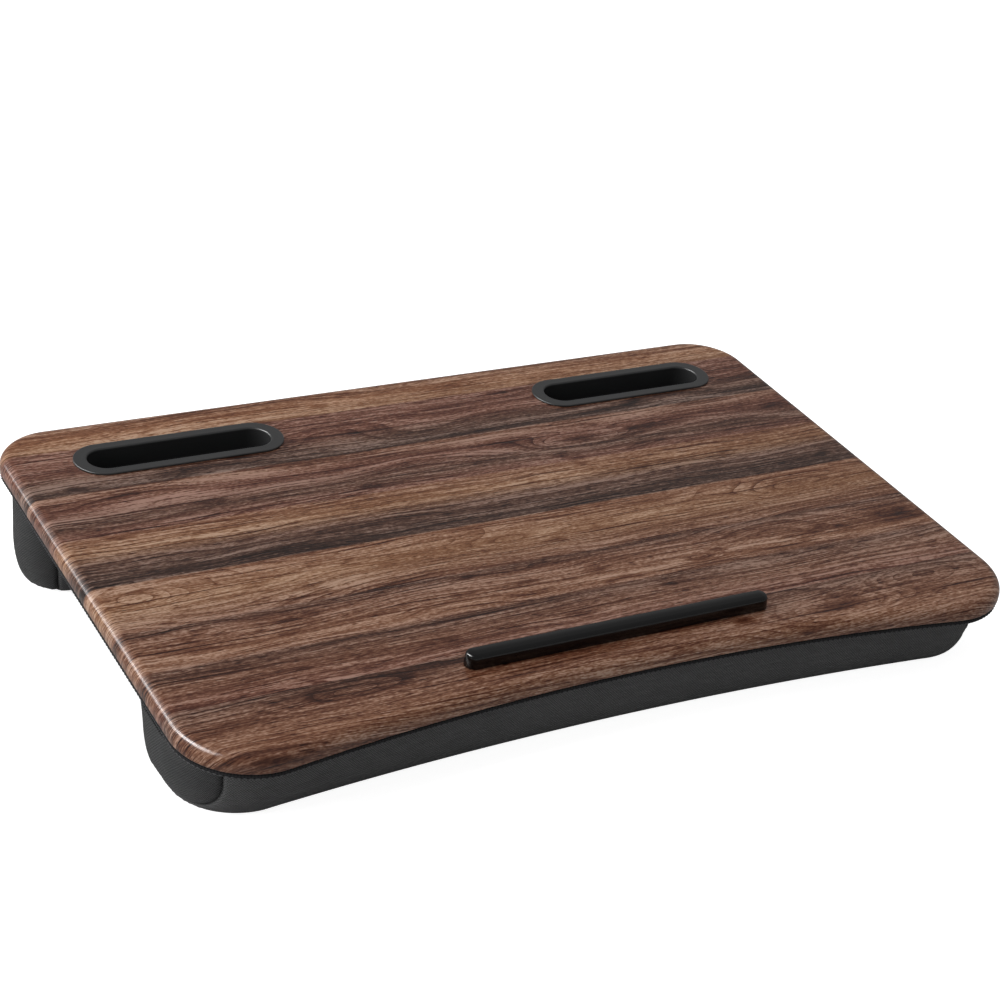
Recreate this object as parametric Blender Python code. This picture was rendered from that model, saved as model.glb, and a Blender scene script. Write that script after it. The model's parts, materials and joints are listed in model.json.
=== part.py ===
"""Lap desk: a walnut-look deck on two sewn cushions, with a slot tray at each rear corner and a stop bar.

Everything is drawn level in the desk's own frame: X to the right, Y to the back, Z square to the deck,
with zero on the deck's underside at the middle of its depth. One empty then tips the whole desk forward
about X and sets the cushions on the floor. All lengths are in metres.
"""
import math

import bmesh
import bpy
import numpy as np

# Deck: one wrapped board with rounded corners and a hollow front edge
DECK_WIDTH = 0.600
DECK_DEPTH = 0.398
DECK_THICKNESS = 0.012
DECK_REAR_CORNER = 0.040
DECK_FRONT_CORNER = 0.049
DECK_FRONT_HOLLOW = 0.020
DECK_TOP_ROUND = 0.008
DECK_BOTTOM_ROUND = 0.0015

# Stance: the deck's slope and the height of its underside over the floor at mid depth, square to the deck
DECK_SLOPE = math.radians(5.0)
UNDERSIDE_HEIGHT = 0.0630

# Slot trays: a flat lip round a moulded well
SLOT_FROM_SIDE = 0.121
SLOT_FROM_REAR = 0.055
SLOT_LENGTH = 0.152
SLOT_WIDTH = 0.041
SLOT_SIDE_LAND = 0.0075
SLOT_END_LAND = 0.0095
SLOT_DEPTH = 0.018
SLOT_WALL = 0.0020
LIP_HEIGHT = 0.0015
LIP_ROUND = 0.0006
WELL_MOUTH_ROUND = 0.0012
WELL_FLOOR_ROUND = 0.0012

# Stop bar with two bosses let into the deck
BAR_LENGTH = 0.222
BAR_WIDTH = 0.0125
BAR_HEIGHT = 0.010
BAR_FROM_FRONT = 0.0195
BAR_EDGE_ROUND = 0.0030
BAR_CROWN = 0.0003
BAR_DRAFT = 0.0004
BOSS_FROM_END = 0.031
BOSS_RADIUS = 0.0029
BOSS_LENGTH = 0.0060
BOSS_BORE_RADIUS = 0.0014
BOSS_BORE_DEPTH = 0.0050

# Screws: pan heads up into the bosses, and through the cloth and base panel into the deck
SCREW_SHANK_RADIUS = 0.0011
SCREW_HEAD_RADIUS = 0.0032
SCREW_HEAD_HEIGHT = 0.0017
BASE_SCREW_RADIUS = 0.0016
BASE_SCREW_HEAD_RADIUS = 0.0038
BASE_SCREW_HEAD_HEIGHT = 0.0018
BASE_SCREW_BITE = 0.0080
BASE_SCREW_SIDE_MARGIN = 0.060
BASE_SCREW_CUSHION_MARGIN = 0.020

# Base panel, the flat cloth under it and the tape bound round both edges
PANEL_THICKNESS = 0.0025
PANEL_INSET = 0.0040
CLOTH_THICKNESS = 0.0010
BINDING_INSET = 0.0009

# Cushions, both sewn from two end panels and one long panel that runs down, under and up again
CUSHION_WALL_BELLY = 0.0008
CUSHION_CROWN = 0.0020
FLOOR_CUT = 0.0005
SEAM_PULL = 0.0012
SEAM_PULL_REACH = 0.0060
END_SEAM_ANGLE = math.radians(70.0)

REAR_CUSHION_DEPTH = 0.071
REAR_CUSHION_FROM_REAR = 0.0245
REAR_CUSHION_FROM_SIDE = 0.0035
REAR_CUSHION_REAR_CORNER = 0.033
REAR_CUSHION_FRONT_CORNER = 0.036
REAR_CUSHION_ROLL = 0.0133
REAR_CUSHION_SEAM_ANGLE = math.radians(58.0)

FRONT_CUSHION_DEPTH = 0.123
FRONT_CUSHION_FROM_FRONT = 0.0124
FRONT_CUSHION_FROM_SIDE = 0.0015
FRONT_CUSHION_REAR_CORNER = 0.051
FRONT_CUSHION_FRONT_CORNER = 0.051
FRONT_CUSHION_HOLLOW = 0.0145
FRONT_CUSHION_ROLL = 0.0083
FRONT_CUSHION_LEAN = 0.0037
FRONT_CUSHION_SEAM_ANGLE = math.radians(54.0)

# Clearance between touching pieces, slack round a hole, how far a cutter runs past what it cuts, and the
# distance below which two points are one
GAP = 0.0003
HOLE_SLACK = 0.0004
OVERRUN = 0.002
SAME_POINT = 0.000003

# Steps that the curves are drawn with
DECK_CORNER_STEPS = 12
DECK_HOLLOW_STEPS = 16
EDGE_ROUND_STEPS = 4
LIP_ROUND_STEPS = 2
MOUTH_ROUND_STEPS = 3
SLOT_END_STEPS = 12
TURNED_STEPS = 12
CUSHION_LONG_STEPS = 10
CUSHION_CORNER_STEPS = 4
CUSHION_ROLL_STEPS = 3

# The share of a cushion's height at which its wall starts to roll under
ROLL_START_SHARE = 0.48

# Values worked out from the sizes above
HALF_WIDTH = DECK_WIDTH / 2
REAR_Y = DECK_DEPTH / 2
FRONT_Y = -DECK_DEPTH / 2
TOP_Z = DECK_THICKNESS
PANEL_TOP = -GAP
PANEL_BOTTOM = PANEL_TOP - PANEL_THICKNESS
CLOTH_TOP = PANEL_BOTTOM - GAP
CLOTH_BOTTOM = CLOTH_TOP - CLOTH_THICKNESS
CUSHION_TOP = CLOTH_BOTTOM - GAP
LIP_TOP = TOP_Z + LIP_HEIGHT
WELL_FLOOR = LIP_TOP - SLOT_DEPTH
WELL_BOTTOM = WELL_FLOOR - SLOT_WALL
SLOT_X = HALF_WIDTH - SLOT_FROM_SIDE
SLOT_Y = REAR_Y - SLOT_FROM_REAR
BAR_Y = FRONT_Y + DECK_FRONT_HOLLOW + BAR_FROM_FRONT + BAR_WIDTH / 2
BAR_BASE = TOP_Z + GAP
BOSS_X = BAR_LENGTH / 2 - BOSS_FROM_END
BOSS_END = TOP_Z - BOSS_LENGTH
COUNTERBORE_TOP = SCREW_HEAD_HEIGHT + 2 * GAP
REAR_CUSHION_BACK = REAR_Y - REAR_CUSHION_FROM_REAR
REAR_CUSHION_FACE = REAR_CUSHION_BACK - REAR_CUSHION_DEPTH
FRONT_CUSHION_FACE = FRONT_Y + FRONT_CUSHION_FROM_FRONT
FRONT_CUSHION_BACK = FRONT_CUSHION_FACE + FRONT_CUSHION_DEPTH


def clear_scene():
    """Empty the file of its objects."""
    for old in list(bpy.data.objects):
        bpy.data.objects.remove(old, do_unlink=True)


def make_material(name, colour, roughness):
    """A Principled material with the piece's own colour and gloss."""
    material = bpy.data.materials.new(name)
    material.use_nodes = True
    shader = material.node_tree.nodes["Principled BSDF"]
    shader.inputs["Base Color"].default_value = (*colour, 1.0)
    shader.inputs["Roughness"].default_value = roughness
    shader.inputs["Metallic"].default_value = 0.0
    return material


def make_object(name, bm, parent, material=None):
    """Turn a bmesh into a named object of the desk, facing out and shaded round where it is round."""
    bmesh.ops.recalc_face_normals(bm, faces=bm.faces)
    mesh = bpy.data.meshes.new(name)
    bm.to_mesh(mesh)
    bm.free()
    mesh.shade_smooth()
    mesh.set_sharp_from_angle(angle=math.radians(40.0))
    item = bpy.data.objects.new(name, mesh)
    bpy.context.collection.objects.link(item)
    item.parent = parent
    if material is not None:
        mesh.materials.append(material)
    return item


def make_cutter(name, bm, parent):
    """A guide solid that only cuts other pieces."""
    cutter = make_object(name, bm, parent)
    cutter.hide_render = True
    cutter.display_type = "WIRE"
    return cutter


def cut(item, *cutters):
    """Cut each guide solid out of a piece."""
    for cutter in cutters:
        step = item.modifiers.new("cut_" + cutter.name, "BOOLEAN")
        step.operation = "DIFFERENCE"
        step.solver = "EXACT"
        step.object = cutter


def join(item, *others):
    """Weld moulded-on solids to a piece."""
    for other in others:
        step = item.modifiers.new("join_" + other.name, "BOOLEAN")
        step.operation = "UNION"
        step.solver = "EXACT"
        step.object = other


def even_angles(sweep, steps):
    """Angles in even steps from the end of the piece round one corner."""
    return np.linspace(0.0, sweep, steps + 1)


def seamed_angles(sweep, radius, seam):
    """Angles round a cushion's corner, with two close columns either side of its upright seam."""
    reach = SEAM_PULL_REACH / radius
    half_gap = GAP / 2 / radius
    before = np.linspace(0.0, seam - reach, CUSHION_CORNER_STEPS)
    after = np.linspace(seam + reach, sweep, CUSHION_CORNER_STEPS - 1)
    return np.concatenate([before, [seam - half_gap, seam + half_gap], after])


def corner(centre_x, centre_y, radius, angles, side_x, side_y):
    """Points and outward normals round one corner, its angles counted from the side's own direction."""
    normals = np.column_stack([side_x * np.cos(angles), side_y * np.sin(angles)])
    return np.array([centre_x, centre_y]) + radius * normals, normals


def straight(y, half_length, steps, side_y):
    """The inner points of a long straight edge, from right to left."""
    x = np.linspace(half_length, -half_length, steps + 1)[1:-1]
    return np.column_stack([x, np.full_like(x, y)]), np.tile([0.0, side_y], (len(x), 1))


def front_sweep(half_width, front_corner, hollow):
    """The hollow edge's radius, and the angle that a front corner turns through to meet it tangentially."""
    half_chord = half_width - front_corner
    radius = (half_chord ** 2 + hollow ** 2) / (2 * hollow) - front_corner
    return radius, math.pi / 2 + math.asin(half_chord / (radius + front_corner))


def outline(half_width, back, face, back_corner, face_corner, hollow, angles, steps):
    """The plan of a board or cushion as points and outward normals, anticlockwise from mid right side.

    The two back corners are quarter circles and the sides run straight. With a hollow, the face is an arc
    that curves in by that much at the middle and meets both corners tangentially; without, it is straight.
    A point moved against its normal lies on the outline drawn in by the same distance.
    """
    sweep = math.pi / 2
    if hollow:
        radius, sweep = front_sweep(half_width, face_corner, hollow)
    back_angles = angles(math.pi / 2, back_corner)
    face_angles = angles(sweep, face_corner)
    back_x = half_width - back_corner
    face_x = half_width - face_corner
    middle = (back - back_corner + face + face_corner) / 2
    right_back = corner(back_x, back - back_corner, back_corner, back_angles, 1, 1)
    left_back = corner(-back_x, back - back_corner, back_corner, back_angles[::-1], -1, 1)
    left_face = corner(-face_x, face + face_corner, face_corner, face_angles, -1, -1)
    right_face = corner(face_x, face + face_corner, face_corner, face_angles[::-1], 1, -1)
    long_back = straight(back, back_x, steps, 1.0)
    if hollow:
        reach = sweep - math.pi / 2
        turn = np.linspace(-reach, reach, steps + 1)[1:-1]
        away = np.column_stack([np.sin(turn), np.cos(turn)])
        long_face = (np.array([0.0, face + hollow - radius]) + radius * away, -away)
    else:
        points, normals = straight(face, face_x, steps, -1.0)
        long_face = (points[::-1], normals)
    right = (np.array([[half_width, middle]]), np.array([[1.0, 0.0]]))
    left = (np.array([[-half_width, middle]]), np.array([[-1.0, 0.0]]))
    runs = (right, right_back, long_back, left_back, left, left_face, long_face, right_face)
    return np.vstack([run[0] for run in runs]), np.vstack([run[1] for run in runs])


def deck_outline():
    """The deck's plan, which the base panel, its cloth and the binding follow a little further in."""
    return outline(HALF_WIDTH, REAR_Y, FRONT_Y, DECK_REAR_CORNER, DECK_FRONT_CORNER, DECK_FRONT_HOLLOW,
                   lambda sweep, radius: even_angles(sweep, DECK_CORNER_STEPS), DECK_HOLLOW_STEPS)


def drawn_in(plan, inset, z):
    """A level ring of the plan, drawn in by an inset."""
    points, normals = plan
    ring = points - inset * normals
    return np.column_stack([ring, np.full(len(ring), z)])


def obround(centre_x, centre_y, half_length, radius, z, steps):
    """A level ring with straight sides and round ends, anticlockwise."""
    angles = np.linspace(-math.pi / 2, math.pi / 2, steps + 1)
    right = np.column_stack([half_length - radius + radius * np.cos(angles), radius * np.sin(angles)])
    ring = np.vstack([right, -right]) + np.array([centre_x, centre_y])
    return np.column_stack([ring, np.full(len(ring), z)])


def round_edge(radius, steps):
    """Insets and drops of a quarter round, from its upright side to its flat side."""
    angles = np.linspace(0.0, math.pi / 2, steps + 1)
    return radius * (1 - np.cos(angles)), radius * (1 - np.sin(angles))


def loft(rings, capped=True, closed=False):
    """Skin a row of equal rings; cap both ends, or join the last ring back to the first."""
    bm = bmesh.new()
    rows = [[bm.verts.new(point) for point in ring] for ring in rings]
    pairs = list(zip(rows, rows[1:]))
    if closed:
        pairs.append((rows[-1], rows[0]))
    for low, high in pairs:
        for i in range(len(low)):
            bm.faces.new((low[i - 1], low[i], high[i], high[i - 1]))
    if capped:
        bm.faces.new(rows[0])
        bm.faces.new(rows[-1])
    return bm


def turned(profile, x, y):
    """A solid turned about an upright axis from (radius, height) pairs, bottom to top."""
    angles = np.linspace(0.0, 2 * math.pi, TURNED_STEPS, endpoint=False)
    rings = []
    for radius, z in profile:
        circle = np.column_stack([x + radius * np.cos(angles), y + radius * np.sin(angles)])
        rings.append(np.column_stack([circle, np.full(len(circle), z)]))
    return loft(rings)


def floor_z(y):
    """The floor's height in the desk's frame: it falls away towards the back, under the sloping deck."""
    return -UNDERSIDE_HEIGHT - y * math.tan(DECK_SLOPE)


def both_sides(x):
    """The two sides, with the place of a piece that stands at the same distance from the middle on each."""
    return (("left", -x), ("right", x))


def well_cutter(side, x, parent):
    """The room that a well needs through the deck, base panel and cloth and in the cushion's filling."""
    half = SLOT_LENGTH / 2 - SLOT_END_LAND + SLOT_WALL + HOLE_SLACK
    radius = SLOT_WIDTH / 2 - SLOT_SIDE_LAND + SLOT_WALL + HOLE_SLACK
    heights = (WELL_BOTTOM - GAP, TOP_Z + OVERRUN)
    rings = [obround(x, SLOT_Y, half, radius, z, SLOT_END_STEPS) for z in heights]
    return make_cutter("well_room_" + side, loft(rings), parent)


def bar_hole_cutter(side, x, parent):
    """A stepped hole: counterbore for the screw head, clearance for its shank and a socket for the boss."""
    shank = SCREW_SHANK_RADIUS + HOLE_SLACK
    head = SCREW_HEAD_RADIUS + HOLE_SLACK
    socket = BOSS_RADIUS + GAP
    socket_floor = BOSS_END - GAP
    profile = ((head, -OVERRUN), (head, COUNTERBORE_TOP), (shank, COUNTERBORE_TOP), (shank, socket_floor),
               (socket, socket_floor), (socket, TOP_Z + OVERRUN))
    return make_cutter("bar_hole_" + side, turned(profile, x, BAR_Y), parent)


def base_screw_places():
    """Name and place of each base screw: two rows of three, along both sides of the valley."""
    side_x = HALF_WIDTH - BASE_SCREW_SIDE_MARGIN
    rows = (("rear", REAR_CUSHION_FACE - BASE_SCREW_CUSHION_MARGIN),
            ("front", FRONT_CUSHION_BACK + BASE_SCREW_CUSHION_MARGIN))
    columns = (("left", -side_x), ("middle", 0.0), ("right", side_x))
    return [(row + "_" + column, x, y) for row, y in rows for column, x in columns]


def base_screw_cutter(parent):
    """One pilot hole for each base screw, through the cloth and panel and up into the deck."""
    bm = bmesh.new()
    radius = BASE_SCREW_RADIUS + GAP
    for _, x, y in base_screw_places():
        hole = turned(((radius, CLOTH_BOTTOM - OVERRUN), (radius, BASE_SCREW_BITE + GAP)), x, y)
        mesh = bpy.data.meshes.new("hole")
        hole.to_mesh(mesh)
        hole.free()
        bm.from_mesh(mesh)
        bpy.data.meshes.remove(mesh)
    return make_cutter("base_screw_holes", bm, parent)


def build_deck(parent, cutters):
    """The board: a full round along its top edge, a small one below, with its slots and screw holes."""
    plan = deck_outline()
    top_in, top_drop = round_edge(DECK_TOP_ROUND, EDGE_ROUND_STEPS)
    rings = [drawn_in(plan, DECK_BOTTOM_ROUND, 0.0), drawn_in(plan, 0.0, DECK_BOTTOM_ROUND)]
    rings += [drawn_in(plan, inset, TOP_Z - drop) for inset, drop in zip(top_in, top_drop)]
    walnut = make_material("walnut_film", (0.125, 0.062, 0.040), 0.38)
    cut(make_object("deck_board", loft(rings), parent, walnut), *cutters)


def build_tray(side, x, parent, plastic):
    """A slot tray: a lip with a broken edge on the deck, and a well through it with a rounded mouth."""
    lip_half = SLOT_LENGTH / 2
    lip_radius = SLOT_WIDTH / 2
    well_half = lip_half - SLOT_END_LAND
    well_radius = lip_radius - SLOT_SIDE_LAND
    shell_half = well_half + SLOT_WALL
    shell_radius = well_radius + SLOT_WALL
    lip_in, lip_drop = round_edge(LIP_ROUND, LIP_ROUND_STEPS)
    mouth_in, mouth_drop = round_edge(WELL_MOUTH_ROUND, MOUTH_ROUND_STEPS)
    outside = [(shell_half - WELL_FLOOR_ROUND, shell_radius - WELL_FLOOR_ROUND, WELL_BOTTOM),
               (shell_half, shell_radius, WELL_BOTTOM + WELL_FLOOR_ROUND),
               (shell_half, shell_radius, TOP_Z + GAP),
               (lip_half, lip_radius, TOP_Z + GAP)]
    lip = [(lip_half - inset, lip_radius - inset, LIP_TOP - drop) for inset, drop in zip(lip_in, lip_drop)]
    mouth = [(well_half + inset, well_radius + inset, LIP_TOP - drop)
             for inset, drop in zip(mouth_in[::-1], mouth_drop[::-1])]
    inside = [(well_half, well_radius, WELL_FLOOR + WELL_FLOOR_ROUND),
              (well_half - WELL_FLOOR_ROUND, well_radius - WELL_FLOOR_ROUND, WELL_FLOOR)]
    rings = [obround(x, SLOT_Y, half, radius, z, SLOT_END_STEPS)
             for half, radius, z in outside + lip + mouth + inside]
    make_object(side + "_slot_tray", loft(rings), parent, plastic)


def build_stop_bar(parent, plastic):
    """The bar: drafted sides, round ends, a rounded top edge, a slight crown and two bored bosses."""
    half = BAR_LENGTH / 2
    radius = BAR_WIDTH / 2
    edge_in, edge_drop = round_edge(BAR_EDGE_ROUND, EDGE_ROUND_STEPS)
    shoulder = BAR_BASE + BAR_HEIGHT - BAR_CROWN
    levels = [(0.0, BAR_BASE)]
    levels += [(BAR_DRAFT + inset, shoulder - drop) for inset, drop in zip(edge_in, edge_drop)]
    levels.append(((BAR_DRAFT + BAR_EDGE_ROUND + radius) / 2, shoulder + BAR_CROWN))
    rings = [obround(0.0, BAR_Y, half - inset, radius - inset, z, SLOT_END_STEPS) for inset, z in levels]
    bar = make_object("stop_bar", loft(rings), parent, plastic)
    for side, x in both_sides(BOSS_X):
        peg = turned(((BOSS_RADIUS, BOSS_END), (BOSS_RADIUS, BAR_BASE + BOSS_RADIUS)), x, BAR_Y)
        bore_heights = (BOSS_END - OVERRUN, BOSS_END + BOSS_BORE_DEPTH)
        bore = turned([(BOSS_BORE_RADIUS, z) for z in bore_heights], x, BAR_Y)
        join(bar, make_cutter("boss_" + side, peg, parent))
        cut(bar, make_cutter("boss_bore_" + side, bore, parent))


def build_bar_screws(parent, steel):
    """A screw in each counterbore, its shank up the bore of the boss."""
    head_top = COUNTERBORE_TOP - GAP
    head_bottom = head_top - SCREW_HEAD_HEIGHT
    shank_top = BOSS_END + BOSS_BORE_DEPTH - GAP
    profile = ((SCREW_HEAD_RADIUS, head_bottom), (SCREW_HEAD_RADIUS, head_top),
               (SCREW_SHANK_RADIUS, head_top), (SCREW_SHANK_RADIUS, shank_top))
    for side, x in both_sides(BOSS_X):
        make_object("stop_bar_screw_" + side, turned(profile, x, BAR_Y), parent, steel)


def build_base(parent, panel_cutters, cloth_cutters):
    """The stiff base panel, the flat cloth under it, and the tape bound round the edge of both."""
    plan = deck_outline()
    board = make_material("base_board", (0.012, 0.012, 0.013), 0.80)
    panel = loft([drawn_in(plan, PANEL_INSET, z) for z in (PANEL_TOP, PANEL_BOTTOM)])
    cut(make_object("base_panel", panel, parent, board), *panel_cutters)
    weave = make_material("base_weave", (0.020, 0.020, 0.022), 0.92)
    cloth = loft([drawn_in(plan, PANEL_INSET, z) for z in (CLOTH_TOP, CLOTH_BOTTOM)])
    cut(make_object("base_cloth", cloth, parent, weave), *cloth_cutters)
    tape = make_material("binding_tape", (0.010, 0.010, 0.011), 0.90)
    inner = PANEL_INSET - GAP
    bulge = (BINDING_INSET + inner) / 2
    section = ((inner, PANEL_TOP), (bulge, PANEL_TOP), (BINDING_INSET, (PANEL_TOP + CLOTH_BOTTOM) / 2),
               (bulge, CLOTH_BOTTOM), (inner, CLOTH_BOTTOM))
    binding = loft([drawn_in(plan, inset, z) for inset, z in section], capped=False, closed=True)
    make_object("edge_binding", binding, parent, tape)


def build_base_screws(parent, steel):
    """The base screws: a pan head under the cloth and a shank up into the deck."""
    head_top = CLOTH_BOTTOM - GAP
    profile = ((BASE_SCREW_HEAD_RADIUS, head_top - BASE_SCREW_HEAD_HEIGHT),
               (BASE_SCREW_HEAD_RADIUS, head_top), (BASE_SCREW_RADIUS, head_top),
               (BASE_SCREW_RADIUS, BASE_SCREW_BITE))
    for name, x, y in base_screw_places():
        make_object("base_screw_" + name, turned(profile, x, y), parent, steel)


def wall_shares():
    """Shares of a cushion's wall height at which its rows lie, with two close rows at the end seam."""
    angles = np.linspace(0.0, END_SEAM_ANGLE, CUSHION_ROLL_STEPS + 1)
    roll = ROLL_START_SHARE + (1 - ROLL_START_SHARE) * np.sin(angles)
    half_gap = GAP / 2 / UNDERSIDE_HEIGHT
    seam = [roll[-1] - half_gap, roll[-1] + half_gap]
    return np.concatenate([[0.0, ROLL_START_SHARE / 2], roll[:-1], seam, [1.0]])


def base_shares():
    """Shares of the way in to the base's middle line: half way to the flat, its edge, and the line."""
    flat = 1 - math.sqrt(FLOOR_CUT / CUSHION_CROWN)
    return flat / 2, flat, 1.0


def wall_inset(share, roll, lean):
    """How far the wall is drawn in at a share of its height: it leans, swells a little and rolls under."""
    inset = lean * share - CUSHION_WALL_BELLY * math.sin(math.pi * share)
    if share > ROLL_START_SHARE:
        along = (share - ROLL_START_SHARE) / (1 - ROLL_START_SHARE)
        inset += roll * (1 - math.sqrt(1 - along ** 2))
    return inset


def cushion_rows(plan, roll, lean, thickness):
    """All rows of one cushion surface, down the wall, round the roll and in to a spine along the base.

    A thickness moves the surface inwards by that much. Rows are levels of the wall, as shares of the
    height to the floor; the base rows draw in from the last wall row to the middle line of the plan and
    crown down to the floor, where the cushion is pressed flat.
    """
    points, normals = plan
    pull = np.zeros(len(points))
    pull[seam_columns(plan)] = SEAM_PULL
    rows = []
    for share in wall_shares():
        inset = wall_inset(share, roll, lean) + thickness + pull * math.sin(math.pi * share)
        ring = points - np.atleast_1d(inset)[:, None] * normals
        base = floor_z(ring[:, 1]) + thickness + CUSHION_CROWN - FLOOR_CUT
        rows.append(np.column_stack([ring, CUSHION_TOP + (base - CUSHION_TOP) * share]))
    ring = rows[-1][:, :2]
    opposite = np.roll(ring[::-1], 1, axis=0)
    spine = (ring + opposite) / 2
    end = np.abs(ring[:, 0]).max() - np.ptp(ring[:, 1]) / 2
    spine[:, 0] = np.clip(spine[:, 0], -end, end)
    spine[np.abs(spine[:, 0]) >= end, 1] = ring[:, 1][[0, len(ring) // 2]].mean()
    for share in base_shares():
        row = ring + (spine - ring) * share
        sag = CUSHION_CROWN * (1 - share) ** 2 - FLOOR_CUT
        height = np.maximum(floor_z(row[:, 1]) + sag, floor_z(row[:, 1])) + thickness
        rows.append(np.column_stack([row, height]))
    return np.array(rows)


def seam_columns(plan):
    """The eight columns of a cushion's plan that lie beside its four upright seams."""
    count = len(plan[0])
    first = 1 + CUSHION_CORNER_STEPS
    half = count // 2
    right_back = (first, first + 1)
    left_back = (half - first - 1, half - first)
    return sorted(right_back + left_back + tuple(count - i for i in right_back + left_back))


def merged_faces(rows, keep):
    """Triangles between the rows that are kept, with the spine's doubled points taken as one.

    All surfaces of a cushion split along the same diagonals, so that they stay clear of each other.
    """
    count = rows.shape[1]
    places = np.round(rows.reshape(-1, 3) / SAME_POINT).astype(np.int64)
    _, first, same = np.unique(places, axis=0, return_index=True, return_inverse=True)
    stand_in = first[same.reshape(-1)].tolist()
    faces = []
    for j in range(len(rows) - 1):
        for i in range(count):
            if not keep(j, i):
                continue
            near, far = j * count + i, j * count + (i + 1) % count
            a, b, c, d = (stand_in[k] for k in (near, far, far + count, near + count))
            faces += [triangle for triangle in ([a, b, c], [a, c, d]) if len(set(triangle)) == 3]
    return faces


def cloth_shell(outer, inner, keep):
    """A piece of cloth: its outer face, its inner face and a rim round every free edge."""
    faces = merged_faces(outer, keep)
    outside = outer.reshape(-1, 3)
    inside = inner.reshape(-1, 3)
    used = sorted({index for face in faces for index in face})
    bm = bmesh.new()
    out = {index: bm.verts.new(outside[index]) for index in used}
    back = {index: bm.verts.new(inside[index]) for index in used}
    sides = {}
    for face in faces:
        bm.faces.new([out[index] for index in face])
        bm.faces.new([back[index] for index in reversed(face)])
        for a, b in zip(face, face[1:] + face[:1]):
            sides.setdefault(frozenset((a, b)), []).append((a, b))
    for edge in sides.values():
        if len(edge) == 1:
            a, b = edge[0]
            bm.faces.new((out[b], out[a], back[a], back[b]))
    return bm


def build_cushion(name, plan, roll, lean, parent, fabrics, cutters=()):
    """One cushion: a long panel over face, base and back, a panel round each end, and the filling.

    The end panels reach from seam to seam round both corners and down to the seam at the roll.
    """
    outer = cushion_rows(plan, roll, lean, 0.0)
    inner = cushion_rows(plan, roll, lean, CLOTH_THICKNESS)
    fill = cushion_rows(plan, roll, lean, CLOTH_THICKNESS + GAP)
    count = len(plan[0])
    seam_row = len(wall_shares()) - 3
    seams = seam_columns(plan)
    right = set(range(seams[-1], count)) | set(range(0, seams[0]))
    left = set(range(seams[3], seams[4]))
    gaps = {seams[0], seams[2], seams[4], seams[6]}
    ends = right | left

    def long_panel(j, i):
        return j > seam_row or (i not in ends and i not in gaps)

    def right_end(j, i):
        return j < seam_row and i in right

    def left_end(j, i):
        return j < seam_row and i in left

    long_fabric, end_fabric, filling = fabrics
    make_object(name + "_cover", cloth_shell(outer, inner, long_panel), parent, long_fabric)
    make_object(name + "_end_right", cloth_shell(outer, inner, right_end), parent, end_fabric)
    make_object(name + "_end_left", cloth_shell(outer, inner, left_end), parent, end_fabric)
    bm = bmesh.new()
    stuffing = fill.reshape(-1, 3)
    faces = merged_faces(fill, lambda j, i: True)
    used = sorted({index for face in faces for index in face})
    verts = {index: bm.verts.new(stuffing[index]) for index in used}
    for face in faces:
        bm.faces.new([verts[index] for index in face])
    bm.faces.new([verts[i] for i in range(count)])
    cut(make_object(name + "_fill", bm, parent, filling), *cutters)


def settle(parent):
    """Tip the desk by its slope and set it on the floor, centred front to back over the origin."""
    parent.rotation_euler = (DECK_SLOPE, 0.0, 0.0)
    parent.location = (0.0, 0.0, UNDERSIDE_HEIGHT * math.cos(DECK_SLOPE))
    bpy.context.view_layer.update()
    depths = []
    for item in parent.children:
        if not item.hide_render:
            depths += [(item.matrix_world @ vertex.co).y for vertex in item.data.vertices]
    parent.location.y = -(max(depths) + min(depths)) / 2


def build():
    """Build every piece of the desk under one empty and set it down."""
    clear_scene()
    desk = bpy.data.objects.new("desk_frame", None)
    bpy.context.collection.objects.link(desk)
    plastic = make_material("tray_plastic", (0.028, 0.030, 0.032), 0.55)
    bar_plastic = make_material("bar_plastic", (0.010, 0.010, 0.011), 0.28)
    steel = make_material("black_steel", (0.030, 0.030, 0.030), 0.45)
    long_fabric = make_material("cushion_weave", (0.033, 0.033, 0.034), 0.95)
    end_fabric = make_material("cushion_end_weave", (0.055, 0.055, 0.056), 0.95)
    filling = make_material("polyester_fill", (0.75, 0.75, 0.73), 1.0)
    fabrics = (long_fabric, end_fabric, filling)

    wells = [well_cutter(side, x, desk) for side, x in both_sides(SLOT_X)]
    bar_holes = [bar_hole_cutter(side, x, desk) for side, x in both_sides(BOSS_X)]
    pilots = base_screw_cutter(desk)
    build_deck(desk, wells + bar_holes + [pilots])
    for side, x in both_sides(SLOT_X):
        build_tray(side, x, desk, plastic)
    build_stop_bar(desk, bar_plastic)
    build_bar_screws(desk, steel)
    build_base(desk, wells + [pilots], wells + [pilots])
    build_base_screws(desk, steel)
    rear = outline(HALF_WIDTH - REAR_CUSHION_FROM_SIDE, REAR_CUSHION_BACK, REAR_CUSHION_FACE,
                   REAR_CUSHION_REAR_CORNER, REAR_CUSHION_FRONT_CORNER, 0.0,
                   lambda sweep, radius: seamed_angles(sweep, radius, REAR_CUSHION_SEAM_ANGLE),
                   CUSHION_LONG_STEPS)
    build_cushion("rear_cushion", rear, REAR_CUSHION_ROLL, 0.0, desk, fabrics, wells)
    front = outline(HALF_WIDTH - FRONT_CUSHION_FROM_SIDE, FRONT_CUSHION_BACK, FRONT_CUSHION_FACE,
                    FRONT_CUSHION_REAR_CORNER, FRONT_CUSHION_FRONT_CORNER, FRONT_CUSHION_HOLLOW,
                    lambda sweep, radius: seamed_angles(sweep, radius, FRONT_CUSHION_SEAM_ANGLE),
                    CUSHION_LONG_STEPS)
    build_cushion("front_cushion", front, FRONT_CUSHION_ROLL, FRONT_CUSHION_LEAN, desk, fabrics)
    settle(desk)


build()
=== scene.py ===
import json
import math

import bmesh
import bpy
import numpy as np
from mathutils import Matrix


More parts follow.
